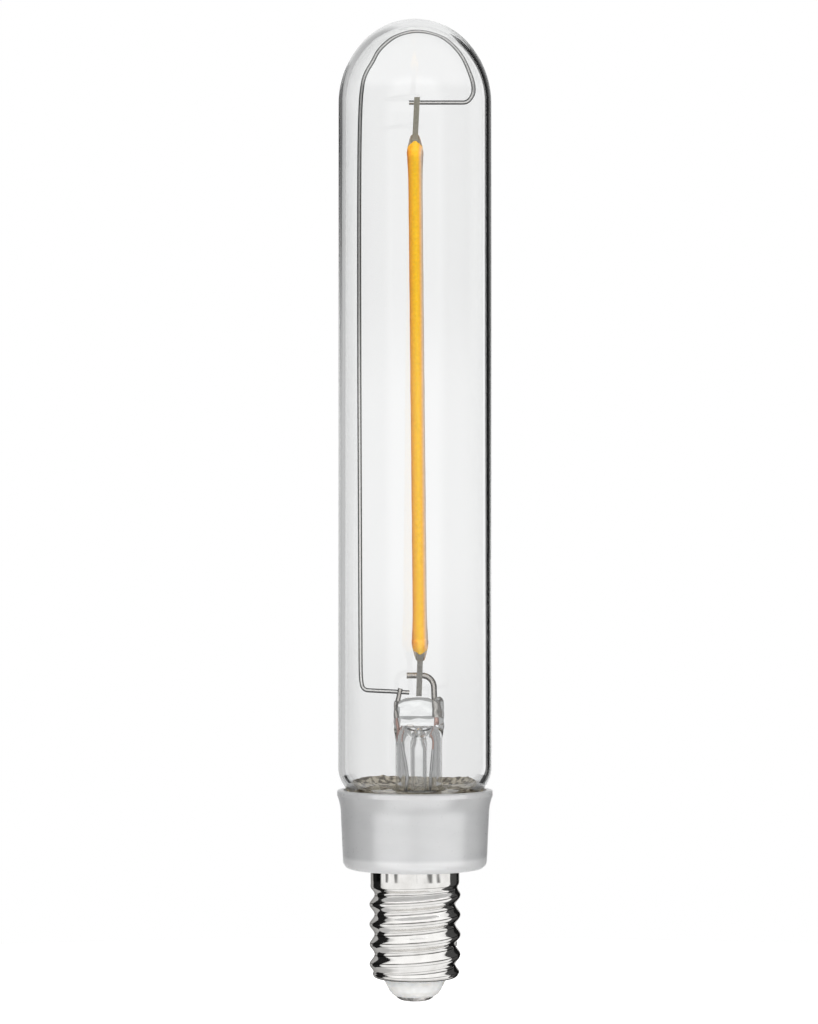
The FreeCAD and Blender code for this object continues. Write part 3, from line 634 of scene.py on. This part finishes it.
class Net:
    """The nodes of a material or world, with short ways to add to them."""

    def __init__(self, tree):
        self.nodes, self.links = tree.nodes, tree.links

    def node(self, kind):
        return self.nodes.new("ShaderNode" + kind)

    def feed(self, socket, value):
        """Joins a socket to another node's output, or sets it to a number or a colour."""
        if isinstance(value, bpy.types.NodeSocket):
            self.links.new(value, socket)
        elif isinstance(value, tuple):
            socket.default_value = (*value, 1.0)
        else:
            socket.default_value = value

    def math(self, operation, *values):
        node = self.node("Math")
        node.operation = operation
        for socket, value in zip(node.inputs, values):
            self.feed(socket, value)
        return node.outputs[0]

    def range(self, value, low, high, to_low, to_high, shape="SMOOTHSTEP"):
        """Takes low..high to to_low..to_high, held at both ends."""
        node = self.node("MapRange")
        node.interpolation_type = shape
        for name, number in (("From Min", low), ("From Max", high), ("To Min", to_low), ("To Max", to_high)):
            node.inputs[name].default_value = number
        self.feed(node.inputs["Value"], value)
        return node.outputs["Result"]

    def split(self, vector):
        node = self.node("SeparateXYZ")
        self.feed(node.inputs[0], vector)
        return [node.outputs[axis] for axis in "XYZ"]

    def place(self, space="Object"):
        return self.node("TexCoord").outputs[space]

    def noise(self, scale, detail, stretch=(1, 1, 1)):
        mapping = self.node("Mapping")
        mapping.inputs["Scale"].default_value = stretch
        texture = self.node("TexNoise")
        texture.inputs["Scale"].default_value = scale
        texture.inputs["Detail"].default_value = detail
        self.feed(mapping.inputs["Vector"], self.place())
        self.feed(texture.inputs["Vector"], mapping.outputs["Vector"])
        return texture.outputs["Fac"]

    def ramp(self, value, stops):
        node = self.node("ValToRGB")
        while len(node.color_ramp.elements) < len(stops):
            node.color_ramp.elements.new(0.5)
        for element, (position, colour) in zip(node.color_ramp.elements, stops):
            element.position = position
            element.color = (*colour, 1.0)
        self.feed(node.inputs["Fac"], value)
        return node.outputs["Color"]

    def multiply(self, first, second, factor=1.0):
        """One colour times another, as far as the factor says."""
        node = self.node("Mix")
        node.data_type = "RGBA"
        node.blend_type = "MULTIPLY"
        for name, value in (("Factor", factor), ("A", first), ("B", second)):
            self.feed(node.inputs[name], value)
        return node.outputs["Result"]

    def mix_shaders(self, share, first, second):
        node = self.node("MixShader")
        for socket, value in zip(node.inputs, (share, first.outputs[0], second.outputs[0])):
            self.feed(socket, value)
        return node.outputs[0]

    def roughen(self, shader, source, low, high):
        self.feed(shader.inputs["Roughness"], self.range(source, 0.0, 1.0, low, high, "LINEAR"))

    def bump(self, shader, height, strength, distance):
        node = self.node("Bump")
        node.inputs["Strength"].default_value = strength
        node.inputs["Distance"].default_value = distance
        self.feed(node.inputs["Height"], height)
        self.feed(shader.inputs["Normal"], node.outputs["Normal"])


def set_inputs(shader, values):
    for name, value in values.items():
        shader.inputs[name].default_value = value


def new_material(name):
    """A material, the net of its nodes and its main shader."""
    material = bpy.data.materials.new(name)
    material.use_nodes = True
    net = Net(material.node_tree)
    return material, net, net.nodes["Principled BSDF"]


# Materials

WHITE = (1.0, 1.0, 1.0)
PLATE_GRAIN = 600.0
WIRE_GRAIN = 5000.0
# Painted shade on the wire's colour by how far it turns away: its own colour along the middle, nearly black
# at its edges
WIRE_PAINTED_SHADE = ((0.0, WHITE), (0.06, WHITE), (0.15, (0.07, 0.07, 0.07)), (1.0, (0.02, 0.02, 0.02)))
# Painted reflections on the thread: thin dark and grey lines by how far it faces up, from 0 for straight down
# to 1
PALE_LINE = (0.35, 0.34, 0.33)
DARK_LINE = (0.07, 0.065, 0.06)
THREAD_PAINTED_LINES = ((0.0, WHITE), (0.285, WHITE), (0.3, PALE_LINE), (0.325, PALE_LINE), (0.34, WHITE),
                (0.60, WHITE), (0.616, DARK_LINE), (0.67, DARK_LINE), (0.69, WHITE), (1.0, WHITE))
# Painted shade along the rim's lower edge
RIM_SHADE = (0.06, 0.06, 0.06)
BAND_STROKE = (0.1, 0.1, 0.1)
# Places in metres between which one look goes over into the next: the rim's painted shade, the band's
# strokes, the collar's foot with its painted light and the coat's front
RIM_SHADE_EDGE = ((BASE_RIM_Z + 0.12) * MM, (BASE_RIM_Z + 0.32) * MM)
BAND_EDGE = ((STAKE_LOW - 0.1) * MM, (STAKE_LOW + 0.15) * MM)
FOOT_EDGE = (17.9 * MM, 18.7 * MM)
COAT_FRONT_EDGE = (-0.1 * MM, 0.15 * MM)
# The coat's colour across its front, from left to right: painted shade at both edges and a browner left side,
# the strip showing through as the pale right side
COAT_SHADE_AND_STRIP = ((0.0, (0.62, 0.22, 0.02)), (0.1, (0.95, 0.42, 0.03)), (0.25, (1.0, 0.52, 0.01)),
              (0.5, (1.0, 0.6, 0.012)), (0.72, (1.0, 0.52, 0.02)), (0.83, (0.95, 0.56, 0.25)),
              (0.9, (0.82, 0.6, 0.42)), (1.0, (0.42, 0.33, 0.27)))


def glass_material():
    material, net, shader = new_material("clear_glass")
    set_inputs(shader, {"Base Color": (1, 1, 1, 1), "Transmission Weight": 1.0, "Roughness": 0.0, "IOR": 1.5})
    absorb = net.node("VolumeAbsorption")
    set_inputs(absorb, {"Color": (0.88, 0.93, 0.92, 1), "Density": 60.0})
    net.feed(net.nodes["Material Output"].inputs["Volume"], absorb.outputs["Volume"])
    streaks = net.noise(900.0, 3.0, (1, 1, 0.02))
    net.bump(shader, streaks, 0.01, 0.00002)
    return material


def metal_material(name, dark, light, rough, scale=PLATE_GRAIN, stretch=(1, 1, 1), edge=1.0):
    """Bare metal with a fine grain. edge below 1 darkens it where it turns away."""
    material, net, shader = new_material(name)
    set_inputs(shader, {"Metallic": 1.0, "Specular Tint": (edge, edge, edge, 1)})
    grain = net.noise(scale, 5.0, stretch)
    net.feed(shader.inputs["Base Color"], net.ramp(grain, ((0.3, dark), (0.7, light))))
    net.roughen(shader, grain, rough * 0.8, rough * 1.2)
    return material


def steel(name, dark, light, rough=0.16, edge=0.25):
    return metal_material(name, dark, light, rough, WIRE_GRAIN, edge=edge)


def wire_material():
    """Drawn steel wire, bright along its middle, with painted shade that darkens it where it turns away."""
    material = steel("wire_steel", (0.7, 0.69, 0.67), (0.84, 0.83, 0.82), 0.06, 0.05)
    net = Net(material.node_tree)
    colour = net.nodes["Principled BSDF"].inputs["Base Color"]
    metal = colour.links[0].from_socket
    away = net.node("LayerWeight")
    away.inputs["Blend"].default_value = 0.5
    # Painted shade: the colour darkens where the wire turns away
    net.feed(colour, net.multiply(metal, net.ramp(away.outputs["Facing"], WIRE_PAINTED_SHADE)))
    return material


def nickel_material():
    """Plated sheet with thin dark and grey lines along the thread that are painted reflections, a dark line
    at the rim that is painted shade, strokes on the band, and edges that darken where they turn away."""
    material, net, shader = new_material("nickel")
    set_inputs(shader, {"Metallic": 1.0, "Specular Tint": (0.55, 0.54, 0.53, 1)})
    grain = net.noise(PLATE_GRAIN, 5.0)
    colour = net.ramp(grain, ((0.3, (0.8, 0.785, 0.76)), (0.7, (0.93, 0.92, 0.9))))
    faces_up = net.split(net.node("NewGeometry").outputs["Normal"])[2]
    tilt = net.range(faces_up, -1.0, 1.0, 0.0, 1.0, "LINEAR")
    patchy_painted_lines = net.range(net.noise(420.0, 3.0), 0.36, 0.6, 0.5, 1.0)
    height = net.split(net.place())[2]
    rim = net.range(height, *RIM_SHADE_EDGE, 0.92, 0.0)
    band = net.range(height, *BAND_EDGE, 0.0, 1.0)
    strokes = net.range(net.noise(900.0, 1.0, (1, 1, 0.12)), 0.5, 0.64, 0.0, 0.85)
    # Painted reflections: thin lines on the thread by which way it faces, patchy by noise
    colour = net.multiply(colour, net.ramp(tilt, THREAD_PAINTED_LINES), patchy_painted_lines)
    # Painted shade: a dark line along the rim
    colour = net.multiply(colour, RIM_SHADE, rim)
    colour = net.multiply(colour, BAND_STROKE, net.math("MULTIPLY", band, strokes))
    net.feed(shader.inputs["Base Color"], colour)
    net.roughen(shader, grain, 0.06, 0.13)
    return material


def plain_material(name, dark, light, rough, scale=900.0, subsurface=0.0, bump=0.1, spread=0.2):
    """A plastic, ceramic or cement, mottled between two colours. A small spread sets them apart."""
    material, net, shader = new_material(name)
    grain = net.noise(scale, 6.0)
    net.feed(shader.inputs["Base Color"], net.ramp(grain, ((0.5 - spread, dark), (0.5 + spread, light))))
    net.roughen(shader, grain, rough * 0.8, rough * 1.2)
    set_inputs(shader, {"Subsurface Weight": subsurface, "Subsurface Radius": (1, 0.8, 0.6),
                        "Subsurface Scale": 0.001})
    net.bump(shader, grain, bump, 0.00005)
    return material


def phosphor_material():
    """Orange silicone. Its front is pale at the right, where the strip shows, and has painted shade that
    makes it browner at the left and darker at both edges."""
    material, net, shader = new_material("phosphor")
    x, y, z = net.split(net.place())
    slope = (FILAMENT_HIGH.x - FILAMENT_LOW.x) / (FILAMENT_HIGH.z - FILAMENT_LOW.z)
    axis_x = net.math("MULTIPLY_ADD", z, slope, (FILAMENT_LOW.x - slope * FILAMENT_LOW.z) * MM)
    across = net.range(net.math("SUBTRACT", x, axis_x), -COAT_R * MM, COAT_R * MM, -0.5, 0.5, "LINEAR")
    front = net.range(y, *COAT_FRONT_EDGE, 1.0, 0.0)
    share = net.math("ADD", net.math("MULTIPLY", across, front), 0.5)
    grain = net.noise(2600.0, 3.0)
    speckle = net.ramp(grain, ((0.35, (0.9, 0.87, 0.8)), (0.65, WHITE)))
    # Painted shade: the front's colour darkens towards both edges and is browner at the left
    net.feed(shader.inputs["Base Color"], net.multiply(net.ramp(share, COAT_SHADE_AND_STRIP), speckle))
    net.roughen(shader, grain, 0.4, 0.6)
    set_inputs(shader, {"Specular IOR Level": 0.12, "Subsurface Weight": 0.15,
                        "Subsurface Radius": (1, 0.5, 0.2), "Subsurface Scale": 0.0003})
    net.bump(shader, grain, 0.1, 0.00003)
    return material


def silicone_material():
    material, net, shader = new_material("clear_silicone")
    set_inputs(shader, {"Base Color": (0.93, 0.91, 0.89, 1), "Transmission Weight": 1.0, "IOR": 1.41})
    grain = net.noise(3000.0, 3.0)
    net.roughen(shader, grain, 0.0, 0.08)
    net.bump(shader, grain, 0.2, 0.00005)
    return material


def frosted_material():
    """Frosted plastic, faintly clouded, with painted light that makes it paler round its foot."""
    material, net, shader = new_material("frosted_plastic")
    height = net.split(net.place())[2]
    # Painted light: the colour is paler round the foot
    low = net.range(height, *FOOT_EDGE, 1.0, 0.0)
    patch = net.math("MULTIPLY", net.noise(150.0, 3.0, (1, 1, 2.5)), 0.5)
    tint = net.ramp(net.math("ADD", low, patch), (
        (0.12, (0.7, 0.705, 0.71)), (0.4, (0.78, 0.785, 0.79)), (1.0, (0.96, 0.965, 0.97))))
    net.feed(shader.inputs["Base Color"], tint)
    set_inputs(shader, {"IOR": 1.49, "Subsurface Weight": 0.6, "Subsurface Radius": (1, 1, 1),
                        "Subsurface Scale": 0.002})
    grain = net.noise(2500.0, 4.0)
    net.roughen(shader, grain, 0.24, 0.34)
    net.bump(shader, grain, 0.15, 0.00004)
    return material


def dress(material, *names):
    for name in names:
        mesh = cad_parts[name].data
        mesh.materials.clear()
        mesh.materials.append(material)


# Studio tones. Each edge is where one tone goes over into the next, by a part of the direction

BEHIND_EDGE = (-0.1, 0.3)
HORIZON_EDGE = (0.07, 0.12)
SOFTBOX_EDGE = (0.22, 0.4)
LEFT_EDGE = (-0.3, -0.1)
HIGH_EDGE = (0.25, 0.6)
THROUGH_EDGE = (-0.05, 0.02)
FILL_ABOVE_EDGE = (0.2, 0.9)
FILL_FRONT_EDGE = (-0.9, -0.4)
FRONT_TONE = 0.96
FRONT_DARK = 0.35
SOFTBOX_TONE = 1.1
LEFT_TONE = 0.55
HIGH_TONE = 0.85
THROUGH_LOW = 0.84
THROUGH_HIGH = 0.95
FILL_SIDE = 0.05
FILL_FRONT = 0.22
FILL_ABOVE = 0.42
FLOOR_FILL = 0.32
FLOOR_R = 450.0
FLOOR_COUNT = 96
FLOOR_RINGS = (0.0, 100.0, 250.0, FLOOR_R)
FLOOR_GLOW_EDGE = (0.15, FLOOR_R * MM)
FLAG_TONE = 0.012
INNER_FLAG_TONE = 0.02
GLASS_LINE_TONE = 15.0
# Light crosses four faces of glass through both walls of the bulb and more through the stem too
BULB_FACES = 3.5
STEM_FACES = 5.5
ONE_REFLECTION = 0.5
TWO_REFLECTIONS = 1.5


def straight_through(net, path):
    """1 for light that crossed the bulb without a reflection, or its stem too with one at most: the
    plain background shows there."""
    glass, mirror = path["Transmission Depth"], path["Glossy Depth"]
    bulb = net.math("GREATER_THAN", glass, BULB_FACES)
    stem = net.math("GREATER_THAN", glass, STEM_FACES)
    plain = net.math("LESS_THAN", mirror, ONE_REFLECTION)
    once = net.math("LESS_THAN", mirror, TWO_REFLECTIONS)
    return net.math("MAXIMUM", net.math("MULTIPLY", bulb, plain), net.math("MULTIPLY", stem, once))


def studio_tone(net, x, y, z):
    """White behind but greyer high up and beside it on the left. In front a softbox high up, a dark
    strip under it and white from the horizon down."""
    behind = net.range(y, *BEHIND_EDGE, 0.0, 1.0)
    low = net.range(z, *HORIZON_EDGE, FRONT_TONE, FRONT_DARK)
    softbox = net.range(z, *SOFTBOX_EDGE, 0.0, SOFTBOX_TONE - FRONT_DARK)
    front = net.math("MULTIPLY", net.math("SUBTRACT", 1.0, behind), net.math("ADD", low, softbox))
    left = net.range(x, *LEFT_EDGE, LEFT_TONE, 1.0)
    high = net.range(z, *HIGH_EDGE, 1.0, HIGH_TONE)
    back = net.math("MULTIPLY", behind, net.math("MULTIPLY", left, high))
    return net.math("ADD", front, back)


def fill_tone(net, y, z):
    """Soft light on plain surfaces: most from above, less from the front, little from the sides."""
    above = net.range(z, *FILL_ABOVE_EDGE, 0.0, FILL_ABOVE)
    front = net.range(y, *FILL_FRONT_EDGE, FILL_FRONT, FILL_SIDE)
    return net.math("ADD", above, front)


def add_background(net, strength):
    background = net.node("Background")
    net.feed(background.inputs["Color"], WHITE)
    net.feed(background.inputs["Strength"], strength)
    return background


def make_world():
    """White for the camera, the studio's tones for reflections and bent light, pale grey straight
    through the glass, and a soft fill on plain surfaces."""
    world = bpy.data.worlds.new("studio")
    bpy.context.scene.world = world
    world.use_nodes = True
    net = Net(world.node_tree)
    net.nodes.clear()
    path = net.node("LightPath").outputs
    x, y, z = net.split(net.place("Generated"))
    straight = straight_through(net, path)
    tone = net.math("MAXIMUM", studio_tone(net, x, y, z), path["Is Camera Ray"])
    bent = net.math("MULTIPLY", tone, net.math("SUBTRACT", 1.0, straight))
    through = net.math("MULTIPLY", straight, net.range(z, *THROUGH_EDGE, THROUGH_LOW, THROUGH_HIGH))
    seen = add_background(net, net.math("ADD", bent, through))
    outside = net.math("SUBTRACT", 1.0, path["Is Transmission Ray"])
    fill = add_background(net, net.math("MULTIPLY", outside, fill_tone(net, y, z)))
    shiny = net.math("MAXIMUM", path["Is Glossy Ray"], path["Is Transmission Ray"])
    direct = net.math("LESS_THAN", path["Diffuse Depth"], 0.5)
    shown = net.math("MAXIMUM", net.math("MULTIPLY", shiny, direct), path["Is Camera Ray"])
    net.feed(net.node("OutputWorld").inputs["Surface"], net.mix_shaders(shown, fill, seen))


def make_floor():
    """A pale round floor that runs into the background and keeps the object's shadow. Reflections
    and light bent by glass pass it by."""
    points, faces = [], []
    skin([circle(r, FLOOR_Z, FLOOR_COUNT) for r in FLOOR_RINGS], points, faces)
    floor = add_mesh("floor", points, faces)
    material, net, shader = new_material("floor")
    set_inputs(shader, {"Base Color": (0.86, 0.86, 0.86, 1), "Roughness": 0.9, "Specular IOR Level": 0.0,
                        "Emission Color": (1, 1, 1, 1)})
    length = net.node("VectorMath")
    length.operation = "LENGTH"
    net.feed(length.inputs[0], net.place())
    glow = net.range(length.outputs["Value"], *FLOOR_GLOW_EDGE, 0.5, 1.0)
    dimmed = net.math("MULTIPLY", net.node("LightPath").outputs["Is Diffuse Ray"], 1.0 - FLOOR_FILL)
    strength = net.math("MULTIPLY", glow, net.math("SUBTRACT", 1.0, dimmed))
    net.feed(shader.inputs["Emission Strength"], strength)
    floor.data.materials.append(material)
    floor.visible_shadow = False
    floor.visible_transmission = False
    floor.visible_glossy = False


# Dark screens. Each row of a section is (radius, height, start, end), in millimetres and in degrees
# right of the view

NEAR = 200.0
CLOSE = 21.0
INNER = 240.0
INNER_TOP = 300.0
INNER_LOW = FLOOR_Z + 0.5
INNER_REACH = 400.0
OUTER_FLAGS = (
    ("flag_right", FLAG_TONE,
     ((NEAR, -250.0, 20.0, 43.0), (NEAR, 0.0, 20.0, 43.0), (NEAR, 90.0, 21.0, 45.0),
      (NEAR, 130.0, 24.0, 46.0), (NEAR, 290.0, 24.0, 44.0))),
    ("flag_right_soft", 0.2,
     ((NEAR, 60.0, 19.0, 21.0), (NEAR, 120.0, 9.0, 24.0), (NEAR, 215.0, 7.0, 24.0))),
    ("flag_left_high", FLAG_TONE,
     ((NEAR, 90.0, -17.0, -15.0), (NEAR, 120.0, -24.0, -11.0), (NEAR, 145.0, -28.0, -6.0),
      (NEAR, 163.0, -26.0, -8.0), (NEAR, 180.0, -18.0, -15.0))),
    ("flag_left_soft", 0.35, ((NEAR, -250.0, -18.0, -13.0), (NEAR, 125.0, -18.0, -13.0))),
    ("flag_low_right", 0.07, ((CLOSE, -6.0, 56.0, 88.0), (CLOSE, 25.5, 56.0, 88.0))),
    ("flag_low_left", 0.015, ((CLOSE, -6.0, -92.0, -56.0), (CLOSE, 25.5, -92.0, -56.0))))
INNER_FLAGS = (
    ("flag_inner_right", ((INNER, INNER_LOW, 14.0, 140.0), (INNER, INNER_TOP, 14.0, 140.0))),
    ("flag_inner_left", ((INNER, INNER_LOW, -140.0, -14.0), (INNER, INNER_TOP, -140.0, -14.0))),
    ("flag_inner_top", ((0.5, INNER_TOP, 0.0, 360.0), (INNER_REACH, INNER_TOP, 0.0, 360.0))),
    ("flag_inner_floor", ((0.5, INNER_LOW, 0.0, 360.0), (INNER_REACH, INNER_LOW, 0.0, 360.0))))
FLAG_STEPS = 24


def shade_inside(net, path, dark, tone):
    """Gives a screen's light for what lies inside the bulb, greyer through the stem and fading out
    towards the camera, and returns 1 for the light that passes the screen by."""
    glass, mirror = path["Transmission Depth"], path["Glossy Depth"]
    outside = net.math("LESS_THAN", glass, BULB_FACES)
    not_stem = net.math("LESS_THAN", glass, STEM_FACES)
    plain = net.math("LESS_THAN", mirror, ONE_REFLECTION)
    often = net.math("GREATER_THAN", mirror, TWO_REFLECTIONS)
    grey = net.math("MULTIPLY", net.math("SUBTRACT", 1.0, not_stem), GLASS_LINE_TONE)
    y = net.split(net.place())[1]
    fade = net.range(y, -0.9 * INNER * MM, -0.5 * INNER * MM, 1.0 / tone, 1.0)
    net.feed(dark.inputs["Strength"], net.math("ADD", fade, grey))
    skip = net.math("MAXIMUM", outside, net.math("MULTIPLY", plain, not_stem))
    return net.math("MAXIMUM", skip, net.math("MULTIPLY", often, not_stem))


def make_flag(name, tone, section, inside_only):
    """A dark screen behind the object, skinned through the rows of its section. Only reflections and
    light bent by glass show it, or with inside_only what lies inside the bulb."""
    points, faces = [], []
    for radius, z, start, end in section:
        for i in range(FLAG_STEPS + 1):
            turn = math.radians(lerp(start, end, i / FLAG_STEPS))
            points.append((radius * math.sin(turn), radius * math.cos(turn), z))
    for row in range(len(section) - 1):
        for i in range(FLAG_STEPS):
            a = row * (FLAG_STEPS + 1) + i
            faces.append([a, a + 1, a + FLAG_STEPS + 2, a + FLAG_STEPS + 1])
    flag = add_mesh(name, points, faces)
    material, net, shader = new_material(name)
    net.nodes.remove(shader)
    dark = net.node("Emission")
    net.feed(dark.inputs["Color"], (tone, tone, tone))
    clear = net.node("BsdfTransparent")
    path = net.node("LightPath").outputs
    skip = shade_inside(net, path, dark, tone) if inside_only else straight_through(net, path)
    net.feed(net.nodes["Material Output"].inputs["Surface"], net.mix_shaders(skip, dark, clear))
    flag.data.materials.append(material)
    flag.visible_camera = False
    flag.visible_diffuse = False
    flag.visible_shadow = False
    flag.visible_volume_scatter = False


# Lamps

LAMP_AIM = Vector((0, 0, 0.04))


def make_lamp(name, turn, distance, height, size, power, shine=False):
    """An area lamp at turn degrees right of the camera, for plain light or only for reflections.
    Its place and size are in metres."""
    data = bpy.data.lights.new(name, "AREA")
    data.shape = "RECTANGLE"
    data.size, data.size_y = size
    data.energy = power
    lamp = bpy.data.objects.new(name, data)
    side = math.radians(turn)
    lamp.location = (distance * math.sin(side), -distance * math.cos(side), height)
    lamp.rotation_euler = (LAMP_AIM - lamp.location).to_track_quat("-Z", "Y").to_euler()
    lamp.visible_camera = False
    lamp.visible_transmission = False
    lamp.visible_glossy = shine
    lamp.visible_diffuse = not shine
    bpy.context.scene.collection.objects.link(lamp)
    return lamp


def light_only(lamps, pieces):
    """Limits lamps to some pieces."""
    group = bpy.data.collections.new(lamps[0].name + "_lit")
    for piece in pieces:
        group.objects.link(piece)
    for lamp in lamps:
        lamp.light_linking.receiver_collection = group


make_camera()
make_world()
make_floor()
for name, tone, section in OUTER_FLAGS:
    make_flag(name, tone, section, False)
for name, section in INNER_FLAGS:
    make_flag(name, INNER_FLAG_TONE, section, True)
front_lamps = [make_lamp("front_left", -40.0, 1.4, 0.4, (0.8, 1.2), 17.5),
               make_lamp("front_right", 40.0, 1.4, 0.35, (0.7, 1.2), 17.5)]
make_lamp("front_soft", 10.0, 1.4, 0.3, (1.2, 1.2), 3.0)
make_lamp("top", 0.0, 0.1, 1.3, (0.8, 0.8), 5.0)
shine_lamps = [make_lamp("shine_left", -34.5, 1.3, 0.1, (1.65, 1.0), 30.0, shine=True),
               make_lamp("shine_right", 42.5, 1.3, 0.1, (2.2, 1.0), 40.0, shine=True)]
low_lamps = [make_lamp("shine_low", 3.0, 1.0, -0.95, (2.6, 0.9), 36.0, shine=True)]
back_lamps = [make_lamp("back_left", -140.0, 1.4, 0.4, (0.8, 1.2), 14.0),
              make_lamp("back_right", 140.0, 1.4, 0.4, (0.8, 1.2), 14.0)]

glass = make_glass()
glue = make_glue()
base = make_screw_base()
coat = make_coat()
beads = [make_bead("top_bead", FILAMENT_HIGH.z, 1), make_bead("bottom_bead", FILAMENT_LOW.z, -1)]
support = make_support_wire()
for piece in [glass, glue, base, coat, support] + beads:
    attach(piece, BODY)
for piece in [glass] + beads:
    piece.visible_shadow = False

glass.data.materials.append(glass_material())
base.data.materials.append(nickel_material())
coat.data.materials.append(phosphor_material())
support.data.materials.append(wire_material())
silicone = silicone_material()
for bead in beads:
    bead.data.materials.append(silicone)
glue.data.materials.append(
    plain_material("cement", (0.035, 0.022, 0.004), (0.4, 0.36, 0.28), 0.6, 1300.0, bump=0.6, spread=0.06))
# Painted shade and painted reflections: the contact's plating is given dark colours and dark streaks
dress(metal_material("contact_plating_painted_shade", (0.12, 0.115, 0.11), (0.8, 0.78, 0.75), 0.2, 1100.0, (1, 1, 0.4), 0.5),
      "centre_contact")
dress(steel("lead_steel", (0.5, 0.47, 0.44), (0.68, 0.65, 0.61), 0.25), "left_inner_lead", "right_inner_lead")
dress(steel("pin_steel", (0.34, 0.32, 0.25), (0.5, 0.47, 0.39), 0.35, 0.6), "filament_top_pin")
# Painted shade: the bottom pin gets a darker copy of the pin's steel
dress(steel("pin_steel_painted_shade", (0.2, 0.19, 0.17), (0.32, 0.31, 0.28), 0.35, 0.6), "filament_bottom_pin")
dress(steel("seal_copper", (0.55, 0.32, 0.27), (0.66, 0.42, 0.36), 0.3), "left_seal_wire", "right_seal_wire")
dress(steel("tinned_wire", (0.5, 0.5, 0.5), (0.65, 0.65, 0.65), 0.3),
      "left_outer_lead", "right_outer_lead", "contact_lead", "shell_lead")
dress(plain_material("strip_ceramic", (0.8, 0.79, 0.75), (0.9, 0.89, 0.86), 0.6), "filament_strip")
dress(plain_material("dies", (0.25, 0.3, 0.45), (0.4, 0.46, 0.6), 0.2), "filament_chips")
dress(frosted_material(), "collar")
dress(plain_material("insulator_plastic", (0.58, 0.58, 0.57), (0.68, 0.68, 0.67), 0.35, 1200.0, 0.3),
      "insulator")
dress(plain_material("board", (0.74, 0.74, 0.7), (0.85, 0.85, 0.8), 0.5), "driver_board")
dress(plain_material("package_black", (0.03, 0.03, 0.03), (0.07, 0.07, 0.07), 0.5),
      "bridge_rectifier", "driver_chip")
dress(metal_material("can_aluminium", (0.6, 0.6, 0.6), (0.75, 0.75, 0.75), 0.3), "capacitor")
dress(plain_material("resistor_body", (0.35, 0.45, 0.5), (0.45, 0.55, 0.6), 0.3), "fuse_resistor")

FRONT_LIT = ("left_inner_lead", "right_inner_lead", "filament_top_pin", "filament_bottom_pin",
             "left_seal_wire", "right_seal_wire", "insulator")
light_only(front_lamps, [coat, glue] + [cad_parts[name] for name in FRONT_LIT])
light_only(back_lamps, [coat])
light_only(low_lamps, [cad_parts["collar"]])
light_only(shine_lamps, [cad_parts[name] for name in ("collar", "insulator")])

bpy.context.scene.view_settings.view_transform = "Standard"
